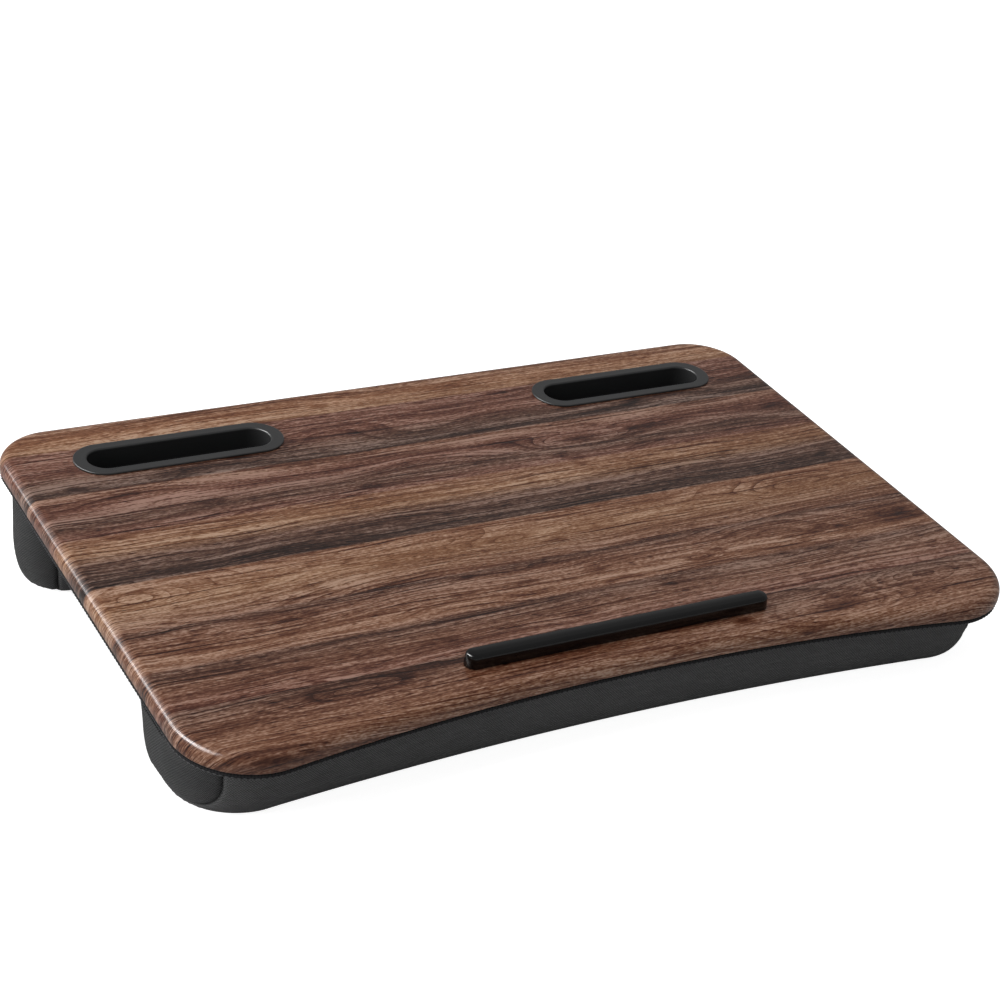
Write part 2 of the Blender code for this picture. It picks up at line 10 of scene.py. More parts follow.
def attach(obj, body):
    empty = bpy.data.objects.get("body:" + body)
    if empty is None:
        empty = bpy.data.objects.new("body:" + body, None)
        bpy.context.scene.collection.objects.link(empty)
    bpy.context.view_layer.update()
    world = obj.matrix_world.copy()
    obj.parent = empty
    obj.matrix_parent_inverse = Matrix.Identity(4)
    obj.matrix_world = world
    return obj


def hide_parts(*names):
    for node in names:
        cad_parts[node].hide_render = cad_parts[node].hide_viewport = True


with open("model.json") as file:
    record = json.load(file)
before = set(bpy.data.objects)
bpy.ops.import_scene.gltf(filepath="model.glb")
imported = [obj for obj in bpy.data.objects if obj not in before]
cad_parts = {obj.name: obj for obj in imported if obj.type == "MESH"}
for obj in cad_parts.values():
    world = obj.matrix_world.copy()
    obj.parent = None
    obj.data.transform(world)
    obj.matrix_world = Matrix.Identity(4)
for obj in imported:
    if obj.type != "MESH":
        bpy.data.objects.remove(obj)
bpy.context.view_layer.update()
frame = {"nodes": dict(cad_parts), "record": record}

# The view: the camera stands at the front left of the desk and looks down on it through a short telephoto
# lens, as the photograph does, and the desk stands on white paper under a pale sky. The lamps that arch over
# it from the rear to the left only show in its gloss, and those at its left, top and front only light it.
CAMERA_PLACE = (-0.7029, -1.1741, 0.7426)
CAMERA_TURN = (64.228, -4.406, -28.618)
CAMERA_LENS = 80.61
CAMERA_SENSOR = 36.0
STRIP_PLACES = ((-1.93, 2.60, 0.80), (-2.07, 2.03, 1.14), (-2.12, 1.50, 1.72), (-2.22, 0.92, 2.08),
                (-2.25, 0.30, 2.28), (-2.25, -0.40, 2.30), (-2.10, -1.10, 2.28))
STRIP_WIDTHS = (0.50, 0.55, 0.75, 0.85, 1.00, 1.00)
STRIP_POWERS = (8.0, 19.0, 38.0, 46.0, 38.0, 20.0)
# Broad lamps: name, the two places they reach between, width, power, shown in gloss or not, lighting or not
BROAD_LAMPS = (
    ("rear_glow_near", (-1.85, 1.75, 1.25), (-1.40, 1.95, 1.62), 0.60, 2.6, True, False),
    ("rear_glow_far", (-1.40, 1.95, 1.62), (-0.70, 2.00, 1.90), 0.80, 1.4, True, False),
    ("left_fill", (-2.30, 1.60, 0.85), (-2.30, -0.60, 0.85), 0.80, 52.0, False, True),
    ("overhead_fill", (-0.80, 0.00, 2.20), (0.30, 0.00, 2.20), 1.10, 21.6, False, True),
    ("front_fill", (-0.40, -2.20, 0.90), (1.00, -2.20, 0.90), 1.00, 2.5, False, True),
)
SKY_STRENGTH = 0.32
WHITE = (1.0, 1.0, 1.0, 1.0)
PAPER_COLOUR = (0.52, 0.52, 0.52)
PAPER_GLOW = 0.90
PAPER_HALF_SIDE = 6.0


def add_node(tree, kind, inputs=None, **settings):
    """Adds a shader node. Settings are its properties, and an input is a value, or the output or the field
    that it is joined to."""
    item = tree.nodes.new("ShaderNode" + kind)
    for key, value in settings.items():
        setattr(item, key, value)
    for key, value in (inputs or {}).items():
        value = getattr(value, "output", value)
        if isinstance(value, bpy.types.NodeSocket):
            tree.links.new(value, item.inputs[key])
        else:
            item.inputs[key].default_value = value
    return item


def blank_material(name):
    """A material without nodes, and its node tree."""
    material = bpy.data.materials.new(name)
    material.use_nodes = True
    material.node_tree.nodes.clear()
    return material, material.node_tree


def paper_material():
    """White paper that keeps shadows. The camera sees a glow of its own on it, so that it reads as white."""
    material, tree = blank_material("white_paper")
    paper = add_node(tree, "BsdfDiffuse", {"Color": (*PAPER_COLOUR, 1.0)})
    glow = add_node(tree, "Emission", {"Strength": PAPER_GLOW})
    lit = add_node(tree, "AddShader", {0: paper.outputs[0], 1: glow.outputs[0]})
    path = add_node(tree, "LightPath")
    seen = add_node(tree, "MixShader",
                    {0: path.outputs["Is Camera Ray"], 1: paper.outputs[0], 2: lit.outputs[0]})
    add_node(tree, "OutputMaterial", {"Surface": seen.outputs[0]})
    return material


def soft_lamp(name, start, end, width, power, mirrored, lights):
    """A flat lamp from one place to another that faces the desk, and shows in its gloss or lights it."""
    start, end = np.array(start), np.array(end)
    place = (start + end) / 2
    away = place / np.linalg.norm(place)
    lengthwise = end - start
    lengthwise = lengthwise - (lengthwise @ away) * away
    lengthwise /= np.linalg.norm(lengthwise)
    lamp = bpy.data.lights.new(name, "AREA")
    lamp.shape = "RECTANGLE"
    lamp.size, lamp.size_y = width, float(np.linalg.norm(end - start))
    lamp.energy = power
    item = bpy.data.objects.new(name, lamp)
    item.visible_glossy = mirrored
    item.visible_diffuse = lights
    item.location = place
    item.rotation_euler = Matrix(np.column_stack([np.cross(lengthwise, away), lengthwise, away])).to_euler()
    bpy.context.scene.collection.objects.link(item)


camera = bpy.data.objects.new("camera", bpy.data.cameras.new("camera"))
camera.location = CAMERA_PLACE
camera.rotation_euler = [math.radians(turn) for turn in CAMERA_TURN]
camera.data.lens = CAMERA_LENS
camera.data.sensor_width = CAMERA_SENSOR
bpy.context.scene.collection.objects.link(camera)
bpy.context.scene.camera = camera
bpy.context.scene.view_settings.view_transform = "Standard"
for index, (width, power) in enumerate(zip(STRIP_WIDTHS, STRIP_POWERS)):
    start, end = STRIP_PLACES[index:index + 2]
    soft_lamp(f"strip_{index}", start, end, width, power, mirrored=True, lights=False)
for lamp_facts in BROAD_LAMPS:
    soft_lamp(*lamp_facts)

sky = bpy.data.worlds.new("pale_sky")
sky.use_nodes = True
bpy.context.scene.world = sky
sky.node_tree.nodes.clear()
sky_path = add_node(sky.node_tree, "LightPath")
sky_light = add_node(sky.node_tree, "Background", {"Color": WHITE, "Strength": SKY_STRENGTH})
sky_seen = add_node(sky.node_tree, "Background", {"Color": WHITE, "Strength": 1.0})
sky_mix = add_node(sky.node_tree, "MixShader",
                   {0: sky_path.outputs["Is Camera Ray"], 1: sky_light.outputs[0], 2: sky_seen.outputs[0]})
add_node(sky.node_tree, "OutputWorld", {"Surface": sky_mix.outputs[0]})

paper_mesh = bpy.data.meshes.new("paper")
paper_corners = [(x, y, 0.0) for x, y in PAPER_HALF_SIDE * np.array([(-1, -1), (1, -1), (1, 1), (-1, 1)])]
paper_mesh.from_pydata(paper_corners, [], [(0, 1, 2, 3)])
paper_mesh.materials.append(paper_material())
paper = bpy.data.objects.new("paper", paper_mesh)
bpy.context.scene.collection.objects.link(paper)

# The deck board: one board about 12 mm thick, its corners and its hollow front edge cut to one line and its
# top edge rounded over, wrapped in a film printed as walnut staves. The film follows the round edge down to
# the underside. Two slots go through it, and the bar and the base panel are screwed to it.
DECK_HALF_WIDTH = 0.300
DECK_HALF_DEPTH = 0.199
DECK_THICKNESS = 0.012
DECK_REAR_CORNER = 0.040
DECK_FRONT_CORNER = 0.049
DECK_FRONT_HOLLOW = 0.020
DECK_TOP_ROUND = 0.008
DECK_BOTTOM_ROUND = 0.0015
DECK_FLAT_MARGIN = 0.0004
DECK_STEP = 0.020
DECK_TURN_STEP = math.radians(2.0)
WELL_TURN_STEP = math.radians(6.0)
SHARP_ANGLE = math.radians(50.0)
TOP_ROUND_STEPS = 12
BOTTOM_ROUND_STEPS = 4
SLOT_X = 0.179
SLOT_Y = 0.144
WELL_HALF_LENGTH = 0.0665
WELL_RADIUS = 0.0130
WELL_WALL = 0.0020
WELL_FLOOR = -0.0045
HOLE_SLACK = 0.0004

mounts = {mount["name"]: mount for mount in frame["record"]["mounts"]}
deck_axis = mounts["deck_top"]["axis"]
DECK_SLOPE = math.atan2(-deck_axis[1], deck_axis[2])
TILT = np.array([
    [1.0, 0.0, 0.0],
    [0.0, math.cos(DECK_SLOPE), -math.sin(DECK_SLOPE)],
    [0.0, math.sin(DECK_SLOPE), math.cos(DECK_SLOPE)],
])
DESK_PLACE = np.array(mounts["right_tray_floor"]["pos_m"]) - TILT @ np.array([SLOT_X, SLOT_Y, WELL_FLOOR])


def on_desk(points):
    """Points of the level desk, tipped by the deck's slope and set on the floor."""
    return points @ TILT.T + DESK_PLACE


def plan_path(half_width, back, face, back_corner, face_corner, hollow=0.0):
    """A rounded plan as nine runs, anticlockwise from the middle of the right side.

    Each run is a straight or an arc that starts where the last one ends, in the same heading. With a hollow,
    the face is an arc that curves in by that much and leaves both face corners at a tangent.
    """
    half_chord = half_width - face_corner
    sweep = math.pi / 2
    face_length = 2 * half_chord
    face_bend = 0.0
    if hollow:
        radius = (half_chord ** 2 + hollow ** 2) / (2 * hollow) - face_corner
        reach = math.asin(half_chord / (radius + face_corner))
        sweep += reach
        face_length = 2 * reach * radius
        face_bend = -1 / radius
    side = (back - back_corner - face - face_corner) / 2
    back_arc = back_corner * math.pi / 2
    face_arc = face_corner * sweep
    lengths = (side, back_arc, 2 * (half_width - back_corner), back_arc, 2 * side,
               face_arc, face_length, face_arc, side)
    bends = (0.0, 1 / back_corner, 0.0, 1 / back_corner, 0.0,
             1 / face_corner, face_bend, 1 / face_corner, 0.0)
    x, y, heading = half_width, back - back_corner - side, math.pi / 2
    runs = []
    for length, bend in zip(lengths, bends):
        runs.append((x, y, heading, bend))
        chord = length * np.sinc(bend * length / 2 / math.pi)
        x += chord * math.cos(heading + bend * length / 2)
        y += chord * math.sin(heading + bend * length / 2)
        heading += bend * length
    return {"runs": np.array(runs), "ends": np.cumsum((0.0, *lengths))}


def along(path, s):
    """Points and outward normals at lengths s along a plan.

    In a run of heading h and bend k, a length u ends in the heading h + k u, at the end of a chord of
    length 2 sin(k u / 2) / k that points along h + k u / 2.
    """
    s = np.mod(s, path["ends"][-1])
    run = np.clip(np.searchsorted(path["ends"], s, side="right") - 1, 0, len(path["runs"]) - 1)
    x, y, heading, bend = np.moveaxis(path["runs"][run], -1, 0)
    u = s - path["ends"][run]
    half_turn = bend * u / 2
    chord = u * np.sinc(half_turn / np.pi)
    chord_heading = heading + half_turn
    points = np.stack([x + chord * np.cos(chord_heading), y + chord * np.sin(chord_heading)], -1)
    end = heading + bend * u
    return points, np.stack([np.sin(end), -np.cos(end)], -1)


def plan_steps(path, longest, turn):
    """Lengths along a plan, even in each run, with no step longer or turning more than it should."""
    lengths = np.diff(path["ends"])
    turns = lengths * np.abs(path["runs"][:, 3])
    counts = np.ceil(np.maximum(lengths / longest, turns / turn) - 1e-9).astype(int)
    runs = [np.linspace(a, b, n, endpoint=False) for a, b, n in zip(path["ends"], path["ends"][1:], counts)]
    return np.concatenate(runs)


def ring(path, s, inset, z):
    """A level ring of the plan at height z, drawn in by an inset."""
    points, normals = along(path, s)
    return np.column_stack([points - inset * normals, np.full(len(s), z)])


def quarter(radius, steps):
    """How far a quarter round is drawn in and down, from its upright side to its flat one: r(1 - cos) and
    r(1 - sin)."""
    angles = np.linspace(0.0, math.pi / 2, steps + 1)
    return radius * (1 - np.cos(angles)), radius * (1 - np.sin(angles))


def wall_faces(rows, columns, first=0):
    """Quads between closed rings of equal count that lie one after the other."""
    row, column = np.meshgrid(np.arange(rows - 1), np.arange(columns), indexing="ij")
    after = (column + 1) % columns
    quads = np.stack([row * columns + column, (row + 1) * columns + column,
                      (row + 1) * columns + after, row * columns + after], -1)
    return first + quads.reshape(-1, 4)


def make_piece(name, points, faces, material, uv=None, fill_level=None, caps=()):
    """A closed piece of the desk from points in the level desk and faces between them.

    Caps are rings that are closed flat. With a fill level, every open edge above it is closed by one flat
    surface with holes, and every open edge below it by another. A uv gives a place on the material's own
    surface, in metres, for each point.
    """
    mesh = bpy.data.meshes.new(name)
    mesh.from_pydata(on_desk(points).tolist(), [], faces.tolist())
    bm = bmesh.new()
    bm.from_mesh(mesh)
    bm.verts.ensure_lookup_table()
    for cap in caps:
        bm.faces.new([bm.verts[index] for index in cap])
    if fill_level is not None:
        upper = [points[vert.index][2] > fill_level for vert in bm.verts]
        for side in (True, False):
            rim = [edge for edge in bm.edges if edge.is_boundary and upper[edge.verts[0].index] == side]
            bmesh.ops.triangle_fill(bm, use_beauty=True, edges=rim)
    bmesh.ops.recalc_face_normals(bm, faces=bm.faces)
    bm.to_mesh(mesh)
    bm.free()
    mesh.shade_smooth()
    mesh.set_sharp_from_angle(angle=SHARP_ANGLE)
    mesh.materials.append(material)
    if uv is not None:
        corners = np.zeros(len(mesh.loops), np.int32)
        mesh.loops.foreach_get("vertex_index", corners)
        layer = mesh.uv_layers.new(name="surface")
        layer.data.foreach_set("uv", np.asarray(uv, np.float32)[corners].ravel())
    item = bpy.data.objects.new(name, mesh)
    bpy.context.scene.collection.objects.link(item)
    return item


def keep_piece(item, slot, *nodes):
    """The piece rides with the desk and stands for CAD nodes, which are hidden. The slot is not used."""
    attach(item, "root")
    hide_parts(*nodes)
    return item


def stack(rings):
    """All points of a row of rings, and the number of rings and of points in each."""
    return np.vstack(rings), len(rings), len(rings[0])


def lofted(name, rings, material):
    """A piece whose skin runs through a row of rings, the first and the last of them closed flat."""
    points, rows, columns = stack(rings)
    ends = (range(columns), range((rows - 1) * columns, rows * columns))
    return make_piece(name, points, wall_faces(rows, columns), material, caps=ends)


def add_well_rooms(points, faces, heights):
    """Adds the walls of the rooms that the two trays' wells need through a piece, between two heights.

    Returns the points and faces with the walls, and each room's lower ring.
    """
    room_s = plan_steps(well_room, DECK_STEP, WELL_TURN_STEP)
    lower_rings = []
    for slot_x in (-SLOT_X, SLOT_X):
        rings = [ring(moved(well_room, slot_x, SLOT_Y), room_s, 0.0, z) for z in heights]
        faces = np.vstack([faces, wall_faces(len(heights), len(room_s), len(points))])
        points = np.vstack([points, *rings])
        lower_rings.append(range(len(points) - len(room_s), len(points)))
    return points, faces, lower_rings


def moved(path, x, y):
    """The same plan, carried to another place."""
    runs = path["runs"].copy()
    runs[:, 0] += x
    runs[:, 1] += y
    return {"runs": runs, "ends": path["ends"]}


WALNUT_TONES = {
    "tan": (0.234, 0.108, 0.055),
    "gold": (0.220, 0.108, 0.056),
    "fawn": (0.192, 0.089, 0.050),
    "brown": (0.142, 0.062, 0.036),
    "red": (0.131, 0.052, 0.033),
    "umber": (0.090, 0.042, 0.027),
    "smoke": (0.068, 0.037, 0.027),
}
# The tone at places from the rear edge, which changes abruptly from each stave to the next
WALNUT_BANDS_FROM_REAR = (
    (-0.018, "brown"), (0.000, "umber"), (0.008, "fawn"), (0.020, "tan"), (0.0352, "gold"),
    (0.0354, "red"), (0.062, "red"), (0.076, "umber"), (0.0930, "smoke"),
    (0.0932, "brown"), (0.112, "red"), (0.132, "umber"), (0.1466, "red"),
    (0.1468, "fawn"), (0.165, "gold"), (0.178, "umber"), (0.2042, "smoke"),
    (0.2044, "fawn"), (0.230, "gold"), (0.2576, "brown"),
    (0.2578, "umber"), (0.268, "brown"), (0.294, "fawn"), (0.3006, "brown"),
    (0.3008, "umber"), (0.320, "brown"), (0.3404, "red"),
    (0.3406, "umber"), (0.360, "brown"), (0.384, "fawn"), (0.396, "brown"), (0.416, "fawn"),
)
# Where each stave begins, with shares for its trunk, swirl, ring width and drift of tone along it
STAVES_FROM_REAR = (
    (-0.018, 0.105, 0.22, 0.30, 0.50), (0.0353, 0.068, 0.75, 0.28, 0.47), (0.0931, 0.118, 0.50, 0.30, 0.44),
    (0.1467, 0.300, 0.25, 0.34, 0.50), (0.2043, 0.229, 0.75, 0.26, 0.42), (0.2577, 0.285, 0.45, 0.30, 0.52),
    (0.3007, 0.420, 0.16, 0.24, 0.56), (0.3405, 0.330, 0.45, 0.30, 0.56),
)
TRUNK_SPREAD = 91.7
STAVE_SWIRL = 15.0
RING_WIDTH = 0.022
STAVE_DRIFT = 1.2
# Knots: place along the desk and from its rear edge, half length and half width, how many rings they bend
# and how dark their heart is
WALNUT_KNOTS = (
    (-0.2700, 0.2240, 0.024, 0.0100, 3.5, 0.0), (0.2300, 0.2250, 0.050, 0.0130, 5.0, 0.0),
    (0.1650, 0.3760, 0.070, 0.0190, 4.6, 0.0), (0.2380, 0.3540, 0.040, 0.0100, -3.0, 0.0),
    (0.1026, 0.2870, 0.012, 0.0040, 2.0, 1.2), (0.2730, 0.2810, 0.026, 0.0100, 3.0, 0.9),
    (-0.1450, 0.0700, 0.040, 0.0120, 4.0, 0.0), (-0.0300, 0.2320, 0.060, 0.0140, 5.0, 0.0),
    (0.1100, 0.1250, 0.045, 0.0110, 4.0, 0.0), (-0.1900, 0.3560, 0.050, 0.0120, 4.0, 0.0),
)
KNOT_RINGS = 0.55
HEART_DEPTH = 0.6
# Streaks of the print: their length and width, and how many finer ones lie in them
GRAIN = {
    "sway": (0.120, 0.034, 1.0), "waver": (0.045, 0.010, 1.0), "swirl": (0.150, 0.050, 1.0),
    "broad": (0.180, 0.0052, 2.0), "fine": (0.060, 0.0016, 3.0), "fibre": (0.0032, 0.0010, 1.0),
    "patch": (0.110, 0.020, 1.0), "rings": (0.120, 0.022, 1.0), "smudge": (0.036, 0.013, 2.0),
    "line": (0.110, 0.0014, 1.0), "pore": (0.0080, 0.0007, 0.0),
}
# Dark marks: the level of their streaks above which they start, and how fast they darken from there
MARKS = {"rings": (0.30, 2.0), "smudge": (0.62, 4.0), "line": (0.58, 5.5), "pore": (0.62, 4.0)}
STREAK_ROUGHNESS = 0.55
RING_UNEVENNESS = 1.6
RING_SHARPNESS = 5.0
SWAY_DEPTH = 0.011
WAVER_DEPTH = 0.0015
WALNUT_DEPTH = 0.86
LEAST_DEPTH = 0.6
BAND_WAVER = 0.003
PORE_DEPTH = 0.00014
FILM_ROUGHNESS = 0.36


class Field:
    """A value that varies over a surface. A sum with it makes a math node in the same material."""

    def __init__(self, output):
        self.output = output
        self.tree = output.id_data

    def __add__(self, other):
        return math_node("ADD", self, other)

    def __sub__(self, other):
        return math_node("SUBTRACT", self, other)

    def __rsub__(self, other):
        return math_node("SUBTRACT", other, self)

    def __mul__(self, other):
        return math_node("MULTIPLY", self, other)

    def __truediv__(self, other):
        return math_node("DIVIDE", self, other)

    __radd__ = __add__
    __rmul__ = __mul__


def math_node(operation, *values, clamp=False):
    """The outcome of one sum on fields and numbers."""
    tree = next(value.tree for value in values if isinstance(value, Field))
    item = add_node(tree, "Math", dict(enumerate(values)), operation=operation, use_clamp=clamp)
    return Field(item.outputs[0])


def noise(place, scale, detail=2.0, roughness=0.5):
    """Noise around one half, with this many lumps to the metre."""
    item = add_node(place.tree, "TexNoise",
                    {"Vector": place, "Scale": scale, "Detail": detail, "Roughness": roughness})
    return Field(item.outputs[0])


def surface_place(tree):
    """The place along and across a piece's own surface, in metres."""
    split = add_node(tree, "SeparateXYZ", {0: add_node(tree, "UVMap", uv_map="surface").outputs[0]})
    return Field(split.outputs[0]), Field(split.outputs[1])


def tinted(colour, shade):
    """A colour made lighter or darker by a field."""
    item = add_node(shade.tree, "VectorMath", {0: colour, "Scale": shade}, operation="SCALE")
    return Field(item.outputs[0])


def bumped(height, strength, distance):
    """The direction of a surface that a height field roughens."""
    item = add_node(height.tree, "Bump", {"Height": height, "Strength": strength, "Distance": distance})
    return Field(item.outputs[0])


def finished(material, inputs):
    """The material, with one principled shader of these inputs for its surface."""
    shader = add_node(material.node_tree, "BsdfPrincipled", inputs)
    add_node(material.node_tree, "OutputMaterial", {"Surface": shader.outputs[0]})
    return material


def streaks(u, v, seed, length, width, detail=2.0):
    """Noise drawn out along the grain: streaks of about this length and width, around one half."""
    place = add_node(u.tree, "CombineXYZ", {0: u / length, 1: v / width, 2: seed})
    return noise(Field(place.outputs[0]), 1.0, detail, STREAK_ROUGHNESS)


def centred(field, gain):
    """A noise field's distance from one half, times a gain."""
    return (field - 0.5) * gain


def film_ramp(v, stops, interpolation):
    """A ramp over the way from the deck's rear edge to its front, both with the film that wraps them."""
    start, end = WALNUT_BANDS_FROM_REAR[0][0], WALNUT_BANDS_FROM_REAR[-1][0]
    ramp = add_node(v.tree, "ValToRGB", {0: (DECK_HALF_DEPTH - v - start) / (end - start)})
    ramp.color_ramp.interpolation = interpolation
    elements = ramp.color_ramp.elements
    elements.remove(elements[1])
    for index, (place, colour) in enumerate(stops):
        stop = elements[0] if index == 0 else elements.new((place - start) / (end - start))
        stop.color = (*colour, 1.0)[:4]
    return ramp


def above(field, level, gain):
    """How far a field stands over a level, times a gain, and nothing below it."""
    return math_node("SUBTRACT", field, level, clamp=True) * gain


def walnut_film():
    """Printed walnut: staves of unlike tone, each with its own sawn figure, streaks and fine dark pores.

    In a stave the year rings are the lines where d / w + s n is constant, d being the way across the stave, w
    a ring's width, s the stave's swirl and n a slow noise drawn out along it: straight grain where the swirl
    is weak, arches and eyes where it is strong. A knot adds h exp(-r^2), r being the way from its middle in
    its own half length and half width, and some have a dark heart. Each ring darkens slowly and ends sharply.
    The whole pattern deepens the tone through a gamma, so dark wood is also redder.
    """
    material, tree = blank_material("walnut_film_finish")
    u, v = surface_place(tree)
    staves = film_ramp(v, [(place, shares) for place, *shares in STAVES_FROM_REAR], "CONSTANT")
    stave_shares = add_node(tree, "SeparateColor", {0: staves.outputs[0]})
    trunk, swirl, ring_share = [Field(output) for output in stave_shares.outputs]
    drift = Field(staves.outputs[1])
    seed = trunk * TRUNK_SPREAD

    sway = centred(streaks(u, v, seed, *GRAIN["sway"]), SWAY_DEPTH)
    waver = centred(streaks(u, v, seed, *GRAIN["waver"]), WAVER_DEPTH)
    bent = v + (sway + waver)
    slow = centred(streaks(u, v, seed + 3.9, *GRAIN["swirl"]), STAVE_SWIRL)
    ring_place = bent / (ring_share * RING_WIDTH) + slow * swirl + seed
    near_knot = 0.0
    heart = 0.0
    for knot_u, knot_from_rear, half_length, half_width, rise, darkness in WALNUT_KNOTS:
        lengthwise = (u - knot_u) / half_length
        crosswise = (bent - (DECK_HALF_DEPTH - knot_from_rear)) / half_width
        nearness = math_node("EXPONENT", (lengthwise * lengthwise + crosswise * crosswise) * -1.0)
        ring_place = ring_place + nearness * rise
        near_knot = near_knot + nearness * KNOT_RINGS
        heart = heart + nearness * darkness
    ring_noise = add_node(tree, "TexNoise", {"W": ring_place, "Scale": 0.6, "Detail": 2.0, "Roughness": 0.6},
                          noise_dimensions="1D")
    figure = Field(ring_noise.outputs[0])
    through_ring = math_node("FRACT", ring_place + centred(figure, RING_UNEVENNESS))
    ring_edge = math_node("POWER", through_ring, RING_SHARPNESS)

    broad = streaks(u, bent, seed, *GRAIN["broad"])
    fine = streaks(u, bent, seed, *GRAIN["fine"])
    fibre = streaks(u, bent, seed, *GRAIN["fibre"])
    patch = streaks(u, v, seed, *GRAIN["patch"])
    ring_strength = above(streaks(u, v, seed, *GRAIN["rings"]), *MARKS["rings"])
    smudge = above(streaks(u, v, seed + 7.3, *GRAIN["smudge"]), *MARKS["smudge"])
    dark_line = above(streaks(u, bent, 3.3, *GRAIN["line"]), *MARKS["line"])
    pores = above(streaks(u, bent, seed, *GRAIN["pore"]), *MARKS["pore"])
    ring_mark = ring_edge * math_node("MAXIMUM", ring_strength, near_knot)
    depth = WALNUT_DEPTH + centred(drift, 1.0) * (u * (-STAVE_DRIFT / DECK_HALF_WIDTH))
    for layer, gain in ((figure, 1.0), (broad, 0.7), (fine, 1.4), (fibre, 1.15), (patch, 0.6)):
        depth = depth + centred(layer, -gain)
    for mark in (pores, dark_line, smudge, ring_mark, heart * HEART_DEPTH):
        depth = depth + mark
    tones = [(place, WALNUT_TONES[tone]) for place, tone in WALNUT_BANDS_FROM_REAR]
    tone = film_ramp(v + centred(patch, BAND_WAVER), tones, "LINEAR").outputs[0]
    wood = add_node(tree, "Gamma", {0: tone, 1: math_node("MAXIMUM", depth, LEAST_DEPTH)})
    return finished(material, {
        "Base Color": wood.outputs[0], "Roughness": FILM_ROUGHNESS + centred(fine, 0.20),
        "Normal": bumped(centred(fibre, 0.5) - (pores + dark_line), 0.6, PORE_DEPTH),
        "Specular IOR Level": 0.08, "Coat Weight": 0.28, "Coat Roughness": 0.19, "Coat IOR": 1.9})


deck_plan = plan_path(DECK_HALF_WIDTH, DECK_HALF_DEPTH, -DECK_HALF_DEPTH, DECK_REAR_CORNER, DECK_FRONT_CORNER,
                      DECK_FRONT_HOLLOW)
deck_s = plan_steps(deck_plan, DECK_STEP, DECK_TURN_STEP)
top_in, top_drop = quarter(DECK_TOP_ROUND, TOP_ROUND_STEPS)
bottom_in, bottom_drop = quarter(DECK_BOTTOM_ROUND, BOTTOM_ROUND_STEPS)
deck_rows = [(DECK_TOP_ROUND + DECK_FLAT_MARGIN, DECK_THICKNESS)]
deck_rows += [(inset, DECK_THICKNESS - drop) for inset, drop in zip(top_in[::-1], top_drop[::-1])]
deck_rows += [(inset, drop) for inset, drop in zip(bottom_in, bottom_drop)]
deck_rows.append((DECK_BOTTOM_ROUND + DECK_FLAT_MARGIN, 0.0))
deck_points, deck_ring_count, deck_columns = stack([ring(deck_plan, deck_s, *row) for row in deck_rows])
deck_faces = wall_faces(deck_ring_count, deck_columns)

film_steps = np.hypot(*np.diff(np.array(deck_rows), axis=0).T)
film_length = np.concatenate([[0.0], np.cumsum(film_steps)]) - DECK_TOP_ROUND - DECK_FLAT_MARGIN
film_points, film_normals = along(deck_plan, deck_s)
film_uv = np.vstack([film_points + length * film_normals for length in film_length])

room_radius = WELL_RADIUS + WELL_WALL + HOLE_SLACK
well_room = plan_path(WELL_HALF_LENGTH + WELL_WALL + HOLE_SLACK, room_radius, -room_radius, room_radius,
                      room_radius)
deck_points, deck_faces, _ = add_well_rooms(deck_points, deck_faces, (DECK_THICKNESS, 0.0))
film_uv = np.vstack([film_uv, deck_points[len(film_uv):, :2]])

deck = make_piece("deck_board_wrapped", deck_points, deck_faces, walnut_film(), uv=film_uv,
                  fill_level=DECK_THICKNESS / 2)
keep_piece(deck, "walnut_film", "deck_board")

# The two slot trays: moulded from black plastic with a fine satin grain, left matt inside. A flat lip lies on
# the deck round a well with a rounded mouth, which goes down through the deck. Each is pressed in from above.
LIP_HALF_LENGTH = 0.076
LIP_RADIUS = 0.0205
LIP_TOP = 0.0135
LIP_ROUND = 0.0006
MOUTH_ROUND = 0.0012
WELL_FLOOR_ROUND = 0.0030
TRAY_GAP = 0.0003
TRAY_TURN_STEP = math.radians(4.0)
ROUND_STEPS = 5
MATT_DEPTH = 0.0009
MATT_SLOPE = 900.0
MATT_GLOSS = 0.16
MATT_ROUGHNESS = 0.40
HANDLING_LUMPS = 45.0


def obround(half_length, radius):
    """A plan with straight sides and round ends."""
    return plan_path(half_length, radius, -radius, radius, radius)


def tray_rows():
    """The tray's section, from under its floor out to the lip, over it and down into the well, as plans with
    their inset and height."""
    lip = obround(LIP_HALF_LENGTH, LIP_RADIUS)
    well = obround(WELL_HALF_LENGTH, WELL_RADIUS)
    shell = obround(WELL_HALF_LENGTH + WELL_WALL, WELL_RADIUS + WELL_WALL)
    bottom = WELL_FLOOR - WELL_WALL
    floor_in, floor_drop = quarter(WELL_FLOOR_ROUND, ROUND_STEPS)
    lip_in, lip_drop = quarter(LIP_ROUND, ROUND_STEPS)
    mouth_in, mouth_drop = quarter(MOUTH_ROUND, ROUND_STEPS)
    rows = [(shell, WELL_FLOOR_ROUND + TRAY_GAP, bottom)]
    rows += [(shell, inset, bottom + drop) for inset, drop in zip(floor_in[::-1], floor_drop[::-1])]
    rows += [(shell, 0.0, DECK_THICKNESS + TRAY_GAP), (lip, 0.0, DECK_THICKNESS + TRAY_GAP)]
    rows += [(lip, inset, LIP_TOP - drop) for inset, drop in zip(lip_in, lip_drop)]
    rows.append((lip, LIP_ROUND + TRAY_GAP, LIP_TOP))
    rows.append((well, -MOUTH_ROUND - TRAY_GAP, LIP_TOP))
    rows += [(well, -inset, LIP_TOP - drop) for inset, drop in zip(mouth_in[::-1], mouth_drop[::-1])]
    rows += [(well, inset, WELL_FLOOR + drop) for inset, drop in zip(floor_in, floor_drop)]
    rows.append((well, WELL_FLOOR_ROUND + TRAY_GAP, WELL_FLOOR))
    return rows


